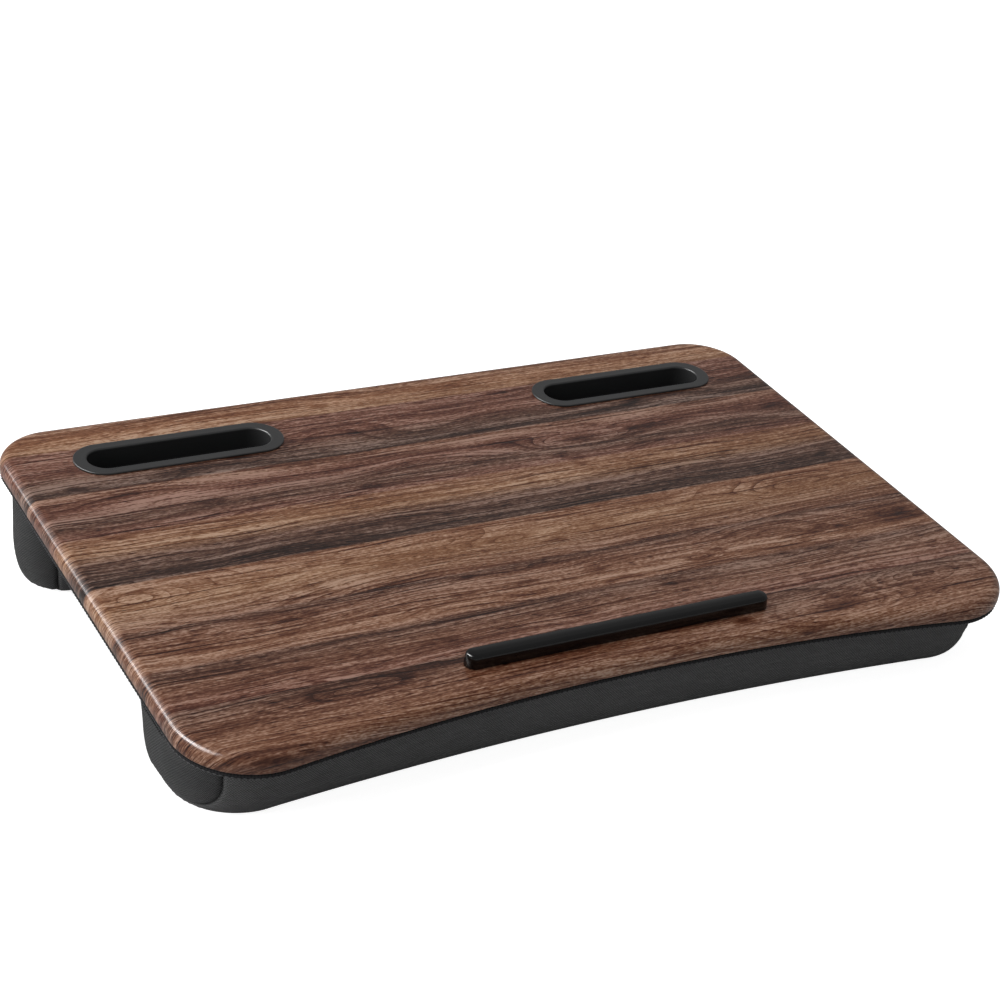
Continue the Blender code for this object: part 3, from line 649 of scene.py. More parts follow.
def plan_rings(rows, x, y, longest, turn):
    """Rings for a row of plans with insets and heights, all drawn at the same shares of their length."""
    return [ring(moved(path, x, y), plan_steps(path, longest, turn), inset, z) for path, inset, z in rows]


def object_place(tree):
    """The place in a piece, in metres."""
    return Field(add_node(tree, "TexCoord").outputs["Object"])


def moulded_plastic(name, colour, roughness, grain, grain_depth, gloss_level, matt_depth=None):
    """Moulded black plastic: a fine spark-eroded grain, and a slow unevenness of its gloss from handling.

    With a matt depth d, the plastic turns matt by the share s (w - d), from 0 to 1, w being the way below the
    tray's lip and s the matt slope.
    """
    material, tree = blank_material(name)
    place = object_place(tree)
    speckle = noise(place, 1 / grain, 1.0)
    handling = noise(place, HANDLING_LUMPS, 3.0)
    if matt_depth is not None:
        up = TILT @ np.array([0.0, 0.0, 1.0])
        height = add_node(tree, "VectorMath", {0: place, 1: tuple(up)}, operation="DOT_PRODUCT")
        sunk = float(DESK_PLACE @ up) + LIP_TOP - matt_depth - Field(height.outputs["Value"])
        glossy = 1.0 - math_node("MULTIPLY", sunk, MATT_SLOPE, clamp=True)
        gloss_level = math_node("MAXIMUM", glossy, MATT_GLOSS) * gloss_level
        roughness = roughness + (1.0 - glossy) * MATT_ROUGHNESS
    shade = 1.0 + (centred(speckle, 0.5) + centred(handling, 0.4))
    return finished(material, {
        "Base Color": tinted(colour, shade),
        "Roughness": roughness + (centred(handling, 0.16) + centred(speckle, 0.08)),
        "Normal": bumped(speckle, 0.35, grain_depth), "Specular IOR Level": gloss_level})


tray_finish = moulded_plastic("tray_plastic_finish", (0.0150, 0.0152, 0.0156), roughness=0.32, grain=0.0006,
                              grain_depth=0.00006, gloss_level=0.76, matt_depth=MATT_DEPTH)
for side, slot_x in (("left", -SLOT_X), ("right", SLOT_X)):
    rings = plan_rings(tray_rows(), slot_x, SLOT_Y, DECK_HALF_WIDTH, TRAY_TURN_STEP)
    tray = lofted(side + "_tray_moulding", rings, tray_finish)
    keep_piece(tray, "tray_plastic", side + "_slot_tray")

# The stop bar: a low rounded bar of glossy black plastic along the front of the deck, moulded in one piece
# with two bosses. They go down into the board, where a screw from below holds each, and aren't drawn here.
BAR_HALF_LENGTH = 0.111
BAR_RADIUS = 0.00625
BAR_Y = -0.15325
BAR_BASE = 0.0123
BAR_HEIGHT = 0.010
BAR_EDGE_ROUND = 0.0030
BAR_CROWN = 0.0003
BAR_DRAFT = 0.0004
BAR_STEP = 0.010
BOSS_X = 0.080


def bar_rows():
    """The bar's section from its base up: drafted sides, a round over and a slightly crowned top."""
    plan = obround(BAR_HALF_LENGTH, BAR_RADIUS)
    shoulder = BAR_BASE + BAR_HEIGHT - BAR_CROWN
    edge_in, edge_drop = quarter(BAR_EDGE_ROUND, 2 * ROUND_STEPS)
    rows = [(plan, TRAY_GAP, BAR_BASE), (plan, 0.0, BAR_BASE + TRAY_GAP)]
    rows += [(plan, BAR_DRAFT + inset, shoulder - drop) for inset, drop in zip(edge_in, edge_drop)]
    inner = BAR_DRAFT + BAR_EDGE_ROUND
    for share in (0.25, 0.5, 0.75, 0.95):
        rise = BAR_CROWN * (1 - (1 - share) ** 2)
        rows.append((plan, inner + (BAR_RADIUS - inner) * share, shoulder + rise))
    return rows


bar_finish = moulded_plastic("bar_plastic_finish", (0.0016, 0.0016, 0.0017), roughness=0.17, grain=0.0009,
                             grain_depth=0.00001, gloss_level=0.40)
bar = lofted("stop_bar_moulding", plan_rings(bar_rows(), 0.0, BAR_Y, BAR_STEP, TRAY_TURN_STEP), bar_finish)
keep_piece(bar, "bar_plastic", "stop_bar")

# The base: a thin hardboard panel, which stays as the frame has it, and a flat cloth stretched under it. A
# woven tape is bound round the edges of both and stitched through. Six black screws hold them to the deck.
PANEL_TOP = -0.0003
CLOTH_TOP = -0.0031
CLOTH_BOTTOM = -0.0041
CLOTH_INSET = 0.0040
TAPE_INSET = 0.0009
TAPE_INNER = 0.0037
TAPE_STEPS = 7
SLUBS = (0.012, 0.0016)
CLOUDS = (0.045, 0.045, 3.0)
STITCH_PITCH = 0.0030
SEAM_SHADE_REACH = 0.0012
SCREW_COLUMNS = (("left", -0.240), ("middle", 0.0), ("right", 0.240))
SCREW_ROWS = (("rear", 0.0835), ("front", -0.0436))
SCREW_SHANK = 0.0016
SCREW_HEAD = 0.0038
SCREW_HEAD_HEIGHT = 0.0018
SCREW_TIP = 0.0080
SCREW_STEPS = 24
SCREW_POINT = 0.0002
BAR_SCREW_SHANK = 0.0011
BAR_SCREW_HEAD = 0.0032
BAR_SCREW_HEAD_HEIGHT = 0.0017
BAR_SCREW_HEAD_TOP = 0.0020
BAR_SCREW_TIP = 0.0107


def tape_section():
    """The tape's section, from its inner top edge out round its fold and back: a half ellipse."""
    turn = np.linspace(-math.pi / 2, math.pi / 2, TAPE_STEPS)
    middle = (PANEL_TOP + CLOTH_BOTTOM) / 2
    half = (PANEL_TOP - CLOTH_BOTTOM) / 2
    bulge = (TAPE_INNER - TAPE_INSET) / 2
    fold = [(TAPE_INSET + bulge * (1 - math.cos(a)), middle - half * math.sin(a)) for a in turn]
    return [(TAPE_INNER, PANEL_TOP), *fold, (TAPE_INNER, CLOTH_BOTTOM)]


def turned(rows, x, y):
    """Rings of a piece turned about an upright axis, for radii and heights from bottom to top."""
    turn = np.linspace(0.0, 2 * math.pi, SCREW_STEPS, endpoint=False)
    circle = np.column_stack([np.cos(turn), np.sin(turn)])
    return [np.column_stack([circle * radius + (x, y), np.full(SCREW_STEPS, z)]) for radius, z in rows]


def pan_head_screw(name, x, y, head_radius, shank_radius, head_bottom, head_top, tip, material):
    """A pan head screw that stands on its head: a domed head with a blind socket, and a shank with a point.

    The socket is a third of the head wide, half of it deep, and ends in a cone. The dome widens as
    0.45 + 0.55 sin a and rises as 1 - cos a, over four fifths of the head.
    """
    height = head_top - head_bottom
    socket = head_radius / 3
    rows = [(socket * 0.7, head_bottom + height * 0.6), (socket, head_bottom + height * 0.5)]
    rows.append((socket, head_bottom))
    rows += [(head_radius * (0.45 + 0.55 * math.sin(a)), head_bottom + height * 0.8 * (1 - math.cos(a)))
             for a in np.linspace(0.2, math.pi / 2, ROUND_STEPS)]
    rows += [(head_radius, head_top), (shank_radius, head_top), (shank_radius, tip - shank_radius)]
    rows.append((SCREW_POINT, tip))
    return lofted(name, turned(rows, x, y), material)


def hardboard():
    """Black painted hardboard: short fibres pressed flat, matt, with a few lighter flecks."""
    material, tree = blank_material("base_board_finish")
    place = object_place(tree)
    lumps = noise(place, 60.0, 5.0, 0.7)
    cells = add_node(tree, "TexVoronoi", {"Vector": place, "Scale": 420.0}, feature="F1")
    fibres = Field(cells.outputs["Distance"])
    return finished(material, {
        "Base Color": tinted((0.014, 0.013, 0.012), 0.55 + (lumps + fibres * 0.5)), "Roughness": 0.82,
        "Normal": bumped(fibres, 0.5, 0.0001)})


def wave(place, pitch):
    """A sine over a length, from -1 to 1, with one wave to each pitch."""
    return math_node("SINE", place * (2 * math.pi / pitch))


def woven_cloth(name, colour, rib, yarn, twill, seam_shade=False):
    """Woven polyester: ribs of one pitch crossed by yarns of another, straight or on the slant of a twill.

    The height is half the sum of the two waves, and the low places are painted darker, as shade in the
    weave's hollows. With a seam shade, the cloth's colour is painted darker into its seams, as shade in their
    groove, and reaches further at every stitch, where the thread pulls it in.
    """
    material, tree = blank_material(name)
    u, v = surface_place(tree)
    slub = streaks(u, v, 1.7, *SLUBS)
    cloud = streaks(u, v, 4.1, *CLOUDS)
    across = u + centred(slub, rib / 3)
    ribs = wave(across + v * twill, rib)
    yarns = wave(v - across * twill, yarn)
    height = ribs * 0.5 + yarns * 0.5
    # Painted shade: the weave's low places are coloured darker, as shade in its hollows
    shade = 1.0 + height * 0.50 + (centred(slub, 0.5) + centred(cloud, 0.25))
    # Painted shade: the colour darkens near each seam, as shade in the seam's groove, wider at every stitch
    if seam_shade:
        seam = add_node(tree, "Attribute", attribute_name="seam_distance")
        away = math_node("ABSOLUTE", Field(seam.outputs["Fac"]))
        reach = SEAM_SHADE_REACH + wave(u + v, STITCH_PITCH) * (SEAM_SHADE_REACH / 3)
        lit = math_node("DIVIDE", away, reach, clamp=True)
        shade = shade * (0.25 + lit * 0.75)
    return finished(material, {
        "Base Color": tinted(colour, shade), "Roughness": 0.88, "Normal": bumped(height, 0.6, yarn / 6),
        "Specular IOR Level": 0.0, "Sheen Weight": 0.12, "Sheen Roughness": 0.45})


def blackened_steel():
    """Screws of steel, zinc plated and blackened: dull metal with brighter rubbed spots."""
    material, tree = blank_material("black_steel_finish")
    rub = noise(object_place(tree), 900.0, 3.0)
    return finished(material, {
        "Base Color": tinted((0.055, 0.055, 0.058), 0.4 + rub * 1.2), "Roughness": 0.42 + centred(rub, -0.3),
        "Metallic": 1.0})


base_panel = frame["nodes"]["base_panel"]
base_panel.data.materials.clear()
base_panel.data.materials.append(hardboard())

cloth_heights = (CLOTH_TOP, CLOTH_BOTTOM)
cloth_points = np.vstack([ring(deck_plan, deck_s, CLOTH_INSET, z) for z in cloth_heights])
cloth_points, cloth_faces, _ = add_well_rooms(cloth_points, wall_faces(2, deck_columns), cloth_heights)
base_weave = woven_cloth("base_weave_finish", (0.018, 0.018, 0.019), rib=0.0011, yarn=0.0009, twill=0.0)
base_cloth = make_piece("base_cloth_stretched", cloth_points, cloth_faces, base_weave,
                        uv=cloth_points[:, :2], fill_level=sum(cloth_heights) / 2)
keep_piece(base_cloth, "base_weave", "base_cloth")

tape_rows = tape_section()
points, rows, columns = stack([ring(deck_plan, deck_s, *row) for row in (*tape_rows, tape_rows[0])])
tape_count = (rows - 1) * columns
tape_along = np.tile(deck_s, rows - 1)
tape_across = np.repeat(np.arange(rows - 1) * (TAPE_INNER - TAPE_INSET) / TAPE_STEPS, columns)
tape_weave = woven_cloth("binding_tape_finish", (0.020, 0.020, 0.021), rib=0.0020, yarn=0.0006, twill=0.0)
tape = make_piece("edge_tape", points[:tape_count], wall_faces(rows, columns) % tape_count, tape_weave,
                  uv=np.column_stack([tape_along, tape_across]))
keep_piece(tape, "binding_tape", "edge_binding")

THREAD_RADIUS = 0.00036
THREAD_PITCH = 0.0036
THREAD_SHARE = 0.62
THREAD_HEIGHT = -0.0027
THREAD_SIDES = 6
THREAD_RINGS = 5
THREAD_TIP = 0.15


def thread_dashes(path, inset, z):
    """Short stitches in a row along a plan, each a little spindle half sunk in the tape.

    A stitch is five rings of radius r sqrt(sin t) at places -l cos t, for t from near 0 to near pi.
    """
    count = round(path["ends"][-1] / THREAD_PITCH)
    points, normals = along(path, np.arange(count) * path["ends"][-1] / count)
    tangents = np.stack([-normals[:, 1], normals[:, 0]], -1)
    t = np.linspace(THREAD_TIP, math.pi - THREAD_TIP, THREAD_RINGS)[:, None]
    side = np.linspace(0.0, 2 * math.pi, THREAD_SIDES, endpoint=False)
    radius = THREAD_RADIUS * np.sqrt(np.sin(t))
    lengthwise = -THREAD_PITCH * THREAD_SHARE / 2 * np.cos(t) + 0 * side
    outward_part = radius * np.cos(side) - inset
    flat = (points[:, None, None] + tangents[:, None, None] * lengthwise[None, ..., None]
            + normals[:, None, None] * outward_part[None, ..., None])
    height = np.broadcast_to(z + radius * np.sin(side), flat.shape[:-1])
    grid = np.concatenate([flat, height[..., None]], -1).reshape(-1, 3)
    size = THREAD_RINGS * THREAD_SIDES
    starts = np.arange(count) * size
    quads = (wall_faces(THREAD_RINGS, THREAD_SIDES)[None] + starts[:, None, None]).reshape(-1, 4)
    ends = [range(start, start + THREAD_SIDES) for start in starts]
    ends += [range(start + size - THREAD_SIDES, start + size) for start in starts]
    return grid, quads, ends


def sewing_thread():
    """Twisted black polyester thread with a slight shine."""
    material, tree = blank_material("sewing_thread_finish")
    twist = noise(object_place(tree), 2500.0, 1.0)
    return finished(material, {"Base Color": tinted((0.040, 0.040, 0.042), 0.5 + twist), "Roughness": 0.55})


thread_points, thread_faces, thread_ends = thread_dashes(deck_plan, TAPE_INSET, THREAD_HEIGHT)
threads = make_piece("edge_tape_stitches", thread_points, thread_faces, sewing_thread(), caps=thread_ends)
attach(threads, "root")

steel_finish = blackened_steel()
head_top = CLOTH_BOTTOM - TRAY_GAP
for row_name, screw_y in SCREW_ROWS:
    for column_name, screw_x in SCREW_COLUMNS:
        place_name = f"{row_name}_{column_name}"
        screw = pan_head_screw("pan_screw_" + place_name, screw_x, screw_y, SCREW_HEAD, SCREW_SHANK,
                               head_top - SCREW_HEAD_HEIGHT, head_top, SCREW_TIP, steel_finish)
        keep_piece(screw, "black_steel", "base_screw_" + place_name)
for side, screw_x in (("left", -BOSS_X), ("right", BOSS_X)):
    screw = pan_head_screw("pan_screw_bar_" + side, screw_x, BAR_Y, BAR_SCREW_HEAD, BAR_SCREW_SHANK,
                           BAR_SCREW_HEAD_TOP - BAR_SCREW_HEAD_HEIGHT, BAR_SCREW_HEAD_TOP, BAR_SCREW_TIP,
                           steel_finish)
    keep_piece(screw, "black_steel", "stop_bar_screw_" + side)

# The cushions: each is sewn inside out from one long woven panel, which runs down the face, under and up
# the back, and a panel round each end, then turned, filled with polyester and sewn to the base cloth. The
# seams pull the cloth in a little, and it swells between them. Both are cut to the floor's slope.
CUSHION_TOP = -0.0044
UNDERSIDE_HEIGHT = 0.0630
CUSHION_CROWN = 0.0020
FLOOR_PRESS = 0.0005
WALL_BELLY = 0.0008
SWELL_ROOM = 0.0016
SWELL_LIMIT = 0.0021
SWELL_PRESSURE = 4.0
SWELL_FRAMES = 20
SWELL_QUALITY = 6
COARSE_COLUMNS = (20, 60, 20, 60)
COARSE_WALL_ROWS = 24
COARSE_BASE_ROWS = 6
ROLL_START = 0.445
# Seams: a groove d exp(-(x / w)^e) at the way x from the seam, and gathers beside it that fade as exp(-x / r)
SEAM_DEPTH = 0.0014
SEAM_WIDTH = 0.0016
SEAM_STEEPNESS = 1.5
PUCKER_DEPTH = 0.00012
PUCKER_REACH = 0.0070
PLEATS = ((0.0047, 1.0), (0.0071, 0.9), (0.0113, 0.7))
CLOTH_THICKNESS = 0.0010
LONG_COLUMNS = 240
END_COLUMNS = 90
WALL_ROWS = 52
BASE_ROWS = 16
SEAM_CROWDING = 0.70
PLEAT_FADE_ROWS = 6
FILL_COLUMNS = (24, 60, 24, 60)
FILL_WALL_ROWS = 16
FILL_BASE_ROWS = 6
FILL_INSET = 0.004
# Each cushion: its plan as half width, back, face, back corner, face corner and hollow. Then how far its wall
# rolls under and leans in, how far round the corner and the roll its seams stand, and the seams' own corner.
CUSHIONS = {
    "rear": {"plan": (0.2965, 0.1762, 0.1067, 0.033, 0.036, 0.0), "roll": 0.0136, "lean": 0.0,
             "seam": math.radians(63.0), "low_seam": math.radians(82.0), "seam_corner": 0.006},
    "front": {"plan": (0.2995, -0.0620, -0.1845, 0.051, 0.051, 0.0134), "roll": 0.0076, "lean": 0.0039,
              "seam": math.radians(57.0), "low_seam": math.radians(62.0), "seam_corner": 0.025},
}


def crowded(count):
    """Shares from 0 to 1 that crowd towards both ends: c - k sin(2 pi c) / (2 pi)."""
    c = np.linspace(0.0, 1.0, count + 1)[:-1]
    return c - SEAM_CROWDING * np.sin(2 * math.pi * c) / (2 * math.pi)


def seam_places(path, seam):
    """Where the four upright seams stand along a cushion's plan, from the right end's face seam round to the
    left end's. The first is counted backwards from the start."""
    ends, runs = path["ends"], path["runs"]
    back_radius, face_radius = 1 / runs[1, 3], 1 / runs[5, 3]
    right_back = ends[1] + back_radius * seam
    left_back = ends[4] - back_radius * seam
    left_face = ends[5] + face_radius * seam
    right_face = ends[8] - face_radius * seam - ends[9]
    return right_face, right_back, left_back, left_face


def wall_profile(rows, low_seam):
    """Shares of the wall's height from its top to its foot: even down the wall, then by even angles round the
    roll, with the angle of the end seam among them. Returns the shares and the seam's row."""
    straight_rows = rows // 2
    roll_rows = rows - straight_rows
    seam_row = round(roll_rows * low_seam / (math.pi / 2))
    upper = np.linspace(0.0, low_seam, seam_row + 1)
    lower = np.linspace(low_seam, math.pi / 2, roll_rows - seam_row + 1)[1:]
    roll = ROLL_START + (1 - ROLL_START) * np.sin(np.concatenate([upper, lower]))
    shares = np.concatenate([np.linspace(0.0, ROLL_START, straight_rows + 1)[:-1], roll])
    return shares, straight_rows + seam_row


def wall_inset(share, roll, lean):
    """How far the wall is drawn in: it leans, swells in the middle and rolls under in a quarter ellipse.

    Where a simulation swells it later, it starts with the room for that taken off.
    """
    turn = np.clip((share - ROLL_START) / (1 - ROLL_START), 0.0, 1.0)
    belly = WALL_BELLY - SWELL_ROOM
    return lean * share - belly * np.sin(math.pi * share) + roll * (1 - np.sqrt(1 - turn ** 2))


def floor_level(y):
    """The floor's height in the level desk."""
    return -UNDERSIDE_HEIGHT - y * math.tan(DECK_SLOPE)


def cushion_grid(facts, counts, wall_rows, base_rows, inset=0.0):
    """Points of a cushion's skin: rows down the wall and in under the base, columns round the plan.

    The columns stand in four groups, two ends and two long sides, that meet at the upright seams. Round each
    seam's lower corner the groups' borders follow a quarter circle, so that a seam always lies on a column or
    a row. Also returns how far round and how far down each point lies, and the seam's row.
    """
    path = plan_path(*facts["plan"])
    _, back, face, _, _, hollow = facts["plan"]
    seams = seam_places(path, facts["seam"])
    shares, seam_row = wall_profile(wall_rows, facts["low_seam"])
    corner = facts["seam_corner"]
    height = UNDERSIDE_HEIGHT + CUSHION_TOP + np.mean((back, face)) * math.tan(DECK_SLOPE)
    inset_rows = wall_inset(shares, facts["roll"], facts["lean"])
    down = np.concatenate([[0.0], np.cumsum(np.hypot(np.diff(inset_rows), np.diff(shares) * height))])
    below = np.clip(down - (down[seam_row] - corner), 0.0, corner)
    spread = corner - np.sqrt(corner ** 2 - below ** 2)
    starts = (*seams, seams[0] + path["ends"][-1])
    around = []
    for group, count in enumerate(counts):
        sign = 1 if group % 2 == 0 else -1
        first = starts[group] + sign * spread
        last = starts[group + 1] - sign * spread
        around.append(first[:, None] + (last - first)[:, None] * crowded(count))
    around = np.hstack(around)
    points, normals = along(path, around)
    points = points - (inset_rows[:, None, None] + inset) * normals
    base = floor_level(points[..., 1]) + CUSHION_CROWN - FLOOR_PRESS + inset
    wall_z = CUSHION_TOP + (base - CUSHION_TOP) * shares[:, None]
    wall = np.dstack([points, wall_z])

    # The base runs from the rim in to a spine, which bends with a hollow plan and stays on its middle line
    rim = wall[-1, :, :2]
    reach = np.abs(rim[:, 0]).max() - np.ptp(rim[:, 1]) / 2
    middle_line = (rim[:, 1].max() + rim[:, 1].min()) / 2
    spine = np.column_stack([np.clip(rim[:, 0], -reach, reach), np.full(len(rim), middle_line)])
    if hollow:
        face_points, _ = along(path, around[-1])
        is_face = face_points[:, 1] < middle_line
        curve = np.interp(spine[:, 0], *sorted_line(rim[is_face]))
        straight_back = np.interp(spine[:, 0], *sorted_line(rim[~is_face]))
        spine[:, 1] = (curve + straight_back) / 2
    inward = (np.arange(1, base_rows + 1) / base_rows)[:, None]
    flat = rim[None] + (spine - rim)[None] * inward[..., None]
    sag = CUSHION_CROWN * (1 - inward) ** 2 - FLOOR_PRESS
    floor = floor_level(flat[..., 1])
    under = np.dstack([flat, np.maximum(floor + sag, floor) + inset])
    return np.vstack([wall, under]), around, down, seam_row


def sorted_line(points):
    """The x and y of points, in the order of x."""
    order = np.argsort(points[:, 0])
    return points[order, 0], points[order, 1]


def outward(grid):
    """The outward normal at each point of a skin, from the points round it."""
    round_the_plan = np.roll(grid, -1, 1) - np.roll(grid, 1, 1)
    down_the_wall = np.gradient(grid, axis=0)
    normal = np.cross(down_the_wall, round_the_plan)
    return normal / np.maximum(np.linalg.norm(normal, axis=-1, keepdims=True), 1e-12)


def skin_places(counts, wall_rows, base_rows, low_seam):
    """Where a skin's rows and columns stand, on scales that skins of any fineness share: the straight wall,
    the roll above the seam, the roll below it and the base are 1 each, and so is each group of columns."""
    straight = wall_rows // 2
    above_seam = round((wall_rows - straight) * low_seam / (math.pi / 2))
    stretches = (straight, above_seam, wall_rows - straight - above_seam, base_rows)
    rows = [index + np.arange(count) / count for index, count in enumerate(stretches)]
    columns = [index + np.arange(count) / count for index, count in enumerate(counts)]
    return np.concatenate([*rows, [len(stretches)]]), np.concatenate(columns)


def smoothly(values, index, closed):
    """Values of the first axis read at broken indices, through the cubic B-spline of four neighbours."""
    first = np.floor(index).astype(int)
    t = (index - first).reshape(-1, *([1] * (values.ndim - 1)))
    weights = ((1 - t) ** 3 / 6, (3 * t ** 3 - 6 * t ** 2 + 4) / 6,
               (-3 * t ** 3 + 3 * t ** 2 + 3 * t + 1) / 6, t ** 3 / 6)
    total = 0.0
    for step, weight in zip((-1, 0, 1, 2), weights):
        place = first + step
        place = place % len(values) if closed else np.clip(place, 0, len(values) - 1)
        total = total + weight * values[place]
    return total


def swelling(facts):
    """How far each point of a coarse skin moves when the filling presses it out, by a cloth simulation.

    The cloth is held at its rim, along its seams and where it lies on the floor. No point moves further
    than a limit l: a way w is shortened to l tanh(w / l).
    """
    skin, _, _, seam_row = cushion_grid(facts, COARSE_COLUMNS, COARSE_WALL_ROWS, COARSE_BASE_ROWS)
    wall = skin[:COARSE_WALL_ROWS]
    rows, columns = wall.shape[:2]
    held = np.zeros((rows, columns), bool)
    held[[0, -1]] = True
    starts = np.concatenate([[0], np.cumsum(COARSE_COLUMNS)])
    held[:seam_row + 1, starts[:-1]] = True
    for group in (0, 2):
        held[seam_row, starts[group]:starts[group + 1] + 1] = True

    mesh = bpy.data.meshes.new("swelling_cloth")
    mesh.from_pydata(wall.reshape(-1, 3).tolist(), [], wall_faces(rows, columns).tolist())
    item = bpy.data.objects.new("swelling_cloth", mesh)
    bpy.context.scene.collection.objects.link(item)
    group = item.vertex_groups.new(name="held")
    group.add(np.flatnonzero(held).tolist(), 1.0, "REPLACE")
    cloth = item.modifiers.new("cloth", "CLOTH")
    cloth.settings.quality = SWELL_QUALITY
    cloth.settings.use_pressure = True
    cloth.settings.uniform_pressure_force = SWELL_PRESSURE
    cloth.settings.vertex_group_mass = "held"
    cloth.settings.effector_weights.gravity = 0.0
    cloth.collision_settings.use_collision = False
    cloth.point_cache.frame_end = SWELL_FRAMES
    for moment in range(1, SWELL_FRAMES + 1):
        bpy.context.scene.frame_set(moment)
    filled = item.evaluated_get(bpy.context.evaluated_depsgraph_get()).to_mesh()
    places = np.zeros(rows * columns * 3)
    filled.vertices.foreach_get("co", places)
    bpy.context.scene.frame_set(1)
    bpy.data.objects.remove(item)
    way = np.zeros(skin.shape)
    way[:rows] = places.reshape(wall.shape) - wall
    length = np.maximum(np.linalg.norm(way, axis=-1, keepdims=True), 1e-9)
    return way * SWELL_LIMIT * np.tanh(length / SWELL_LIMIT) / length


def swollen(grid, facts, counts, wall_rows, base_rows):
    """A fine skin, moved as the coarse one swells, and not through the floor."""
    coarse_rows, coarse_columns = skin_places(COARSE_COLUMNS, COARSE_WALL_ROWS, COARSE_BASE_ROWS,
                                              facts["low_seam"])
    fine_rows, fine_columns = skin_places(counts, wall_rows, base_rows, facts["low_seam"])
    row_index = np.interp(fine_rows, coarse_rows, np.arange(len(coarse_rows)))
    column_index = np.interp(fine_columns, [*coarse_columns, len(counts)], np.arange(len(coarse_columns) + 1))
    down_moved = smoothly(swelling(facts), row_index, False)
    moved_grid = grid + np.swapaxes(smoothly(np.swapaxes(down_moved, 0, 1), column_index, True), 0, 1)
    moved_grid[0] = grid[0]
    moved_grid[..., 2] = np.maximum(moved_grid[..., 2], floor_level(moved_grid[..., 1]))
    return moved_grid


def seam_distance(around, down, seams, seam_row, total, corner):
    """How far each wall point is from its nearest end seam, negative inside the end panel, and the share of
    that way that runs round the plan and down the wall. An end panel is a strip with round lower corners."""
    bottom = down[seam_row]
    nearest = None
    for first, last in ((seams[0], seams[1]), (seams[2], seams[3]), (seams[0] + total, seams[1] + total)):
        side = around - (first + last) / 2
        beyond = np.abs(side) - ((last - first) / 2 - corner)
        below = (down - (bottom - corner))[:, None] + np.zeros_like(side)
        outside = np.hypot(np.maximum(beyond, 0.0), np.maximum(below, 0.0))
        distance = outside + np.minimum(np.maximum(beyond, below), 0.0) - corner
        turn = np.where(outside > 0, np.maximum(beyond, 0.0) / np.maximum(outside, 1e-9), beyond > below)
        if nearest is None:
            nearest, nearest_turn = distance, turn
        closer = np.abs(distance) < np.abs(nearest)
        nearest = np.where(closer, distance, nearest)
        nearest_turn = np.where(closer, turn, nearest_turn)
    return nearest, nearest_turn


def ripple(length, seed):
    """A pleated wave along a seam: a sum of sines whose phases come from the seed."""
    phases = np.random.default_rng(seed).uniform(0, 2 * math.pi, len(PLEATS))
    return sum(share * np.sin(2 * math.pi * length / wave_length + phase)
               for (wave_length, share), phase in zip(PLEATS, phases))


def make_panel(name, grid, uv, seam_distances, keep, material):
    """A panel of cloth: the part of the skin that it covers, which knows how far its seams are."""
    rows, columns = grid.shape[:2]
    faces = wall_faces(rows, columns).reshape(rows - 1, columns, 4)[keep]
    used, index = np.unique(faces, return_inverse=True)
    item = make_piece(name, grid.reshape(-1, 3)[used], index.reshape(faces.shape), material,
                      uv=uv.reshape(-1, 2)[used])
    layer = item.data.attributes.new("seam_distance", "FLOAT", "POINT")
    layer.data.foreach_set("value", seam_distances.ravel()[used].astype(np.float32))
    shell = item.modifiers.new("cloth_thickness", "SOLIDIFY")
    shell.thickness = CLOTH_THICKNESS
    shell.offset = -1.0
    return item


def polyester_fibre():
    """Loose white polyester fibre: soft clumps with a fine tangle on them."""
    material, tree = blank_material("polyester_fill_finish")
    place = object_place(tree)
    clump = noise(place, 60.0)
    tangle = noise(place, 700.0, 4.0, 0.7)
    return finished(material, {
        "Base Color": tinted((0.74, 0.74, 0.72), 0.75 + clump * 0.4), "Roughness": 1.0,
        "Normal": bumped(clump + tangle, 0.8, 0.001), "Sheen Weight": 0.3})


twill_facts = {"rib": 0.0019, "yarn": 0.0021, "twill": 1.0, "seam_shade": True}
# Painted light: the long panel and the end panels are one cloth, and the long panel's colour is about twice
# as light as the ends' only to make up for the little light on its face
woven = woven_cloth("cushion_weave_painted_lighter", (0.086, 0.086, 0.0863), **twill_facts)
woven_end = woven_cloth("cushion_end_weave_finish", (0.0425, 0.0425, 0.043), **twill_facts)
filling = polyester_fibre()
skin_columns = (END_COLUMNS, LONG_COLUMNS, END_COLUMNS, LONG_COLUMNS)
column = np.arange(sum(skin_columns))
on_right = column < END_COLUMNS
on_left = (column >= END_COLUMNS + LONG_COLUMNS) & (column < 2 * END_COLUMNS + LONG_COLUMNS)

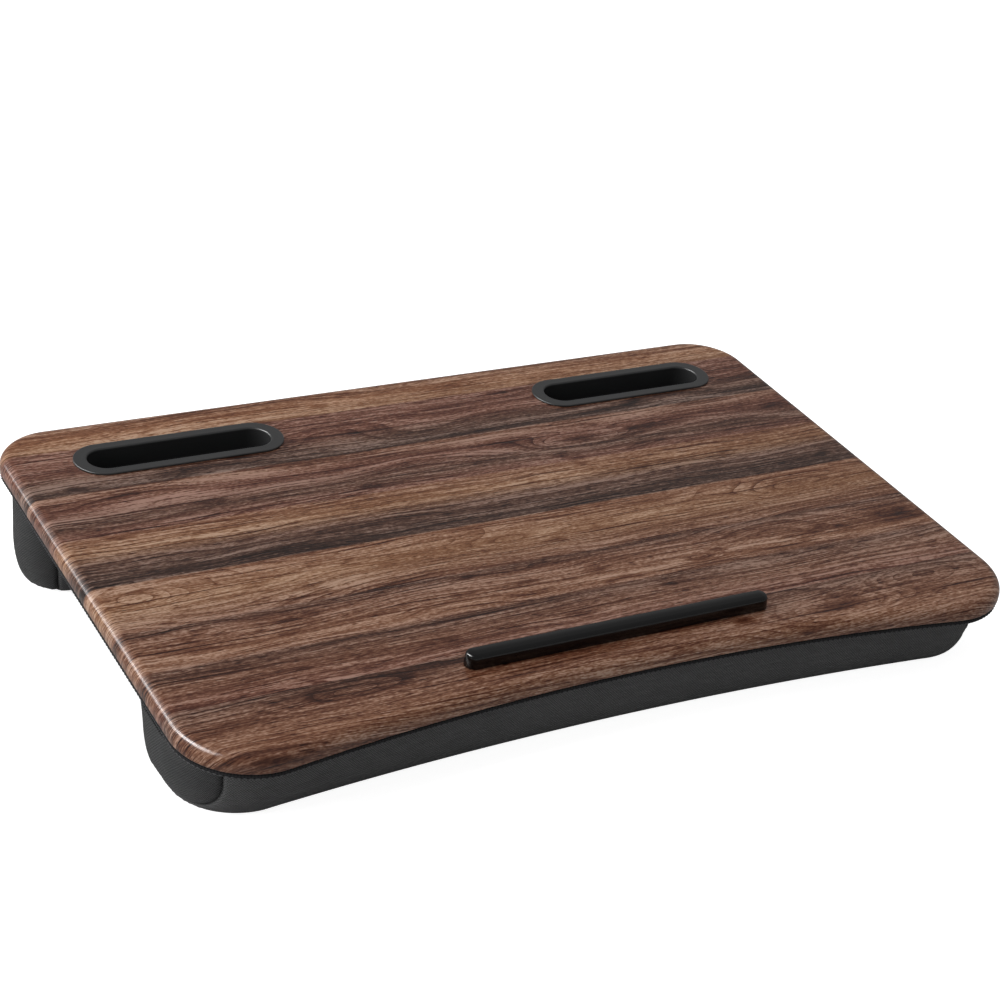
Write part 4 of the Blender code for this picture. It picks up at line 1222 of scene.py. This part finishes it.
for cushion_name, facts in CUSHIONS.items():
    grid, around, down, seam_row = cushion_grid(facts, skin_columns, WALL_ROWS, BASE_ROWS)
    path = plan_path(*facts["plan"])
    seams = seam_places(path, facts["seam"])
    distance, turn = seam_distance(around, down, seams, seam_row, path["ends"][-1], facts["seam_corner"])
    grid = swollen(grid, facts, skin_columns, WALL_ROWS, BASE_ROWS)
    groove = SEAM_DEPTH * np.exp(-(np.abs(distance) / SEAM_WIDTH) ** SEAM_STEEPNESS)
    gather = np.exp(-np.abs(distance) / PUCKER_REACH)
    pleats = turn * ripple(down, 3)[:, None] + (1 - turn) * ripple(around, 5)
    push = -groove + PUCKER_DEPTH * gather * pleats
    wall_count = len(down)
    fade = np.clip(np.arange(wall_count) / PLEAT_FADE_ROWS, 0, 1)[:, None]
    grid[:wall_count] += (push * fade)[..., None] * outward(grid)[:wall_count]

    steps = np.linalg.norm(np.diff(grid, axis=0), axis=-1)
    depth = np.vstack([np.zeros(len(column)), np.cumsum(steps, axis=0)])
    width = np.vstack([around, np.tile(around[-1], (BASE_ROWS, 1))])
    uv = np.dstack([width, -depth])
    above_seam = (np.arange(len(grid) - 1) < seam_row)[:, None]
    right = above_seam & on_right
    left = above_seam & on_left
    seam_distances = np.vstack([distance, np.full((BASE_ROWS, len(column)), PUCKER_REACH)])
    for panel_name, node, keep, cloth, slot in (
            ("long_panel", "cover", ~(right | left), woven, "cushion_weave"),
            ("right_panel", "end_right", right, woven_end, "cushion_end_weave"),
            ("left_panel", "end_left", left, woven_end, "cushion_end_weave")):
        panel = make_panel(f"{cushion_name}_cushion_{panel_name}", grid, uv, seam_distances, keep, cloth)
        keep_piece(panel, slot, f"{cushion_name}_cushion_{node}")

    stuffing = cushion_grid(facts, FILL_COLUMNS, FILL_WALL_ROWS, FILL_BASE_ROWS, FILL_INSET)[0][:-1]
    points = stuffing.reshape(-1, 3)
    faces = wall_faces(*stuffing.shape[:2])
    well_floors = ()
    if cushion_name == "rear":
        room_heights = (CUSHION_TOP, WELL_FLOOR - WELL_WALL - HOLE_SLACK)
        points, faces, well_floors = add_well_rooms(points, faces, room_heights)
    filler = make_piece(cushion_name + "_cushion_filling", points, faces, filling,
                        fill_level=(CUSHION_TOP - UNDERSIDE_HEIGHT) / 2, caps=well_floors)
    keep_piece(filler, "polyester_fill", cushion_name + "_cushion_fill")
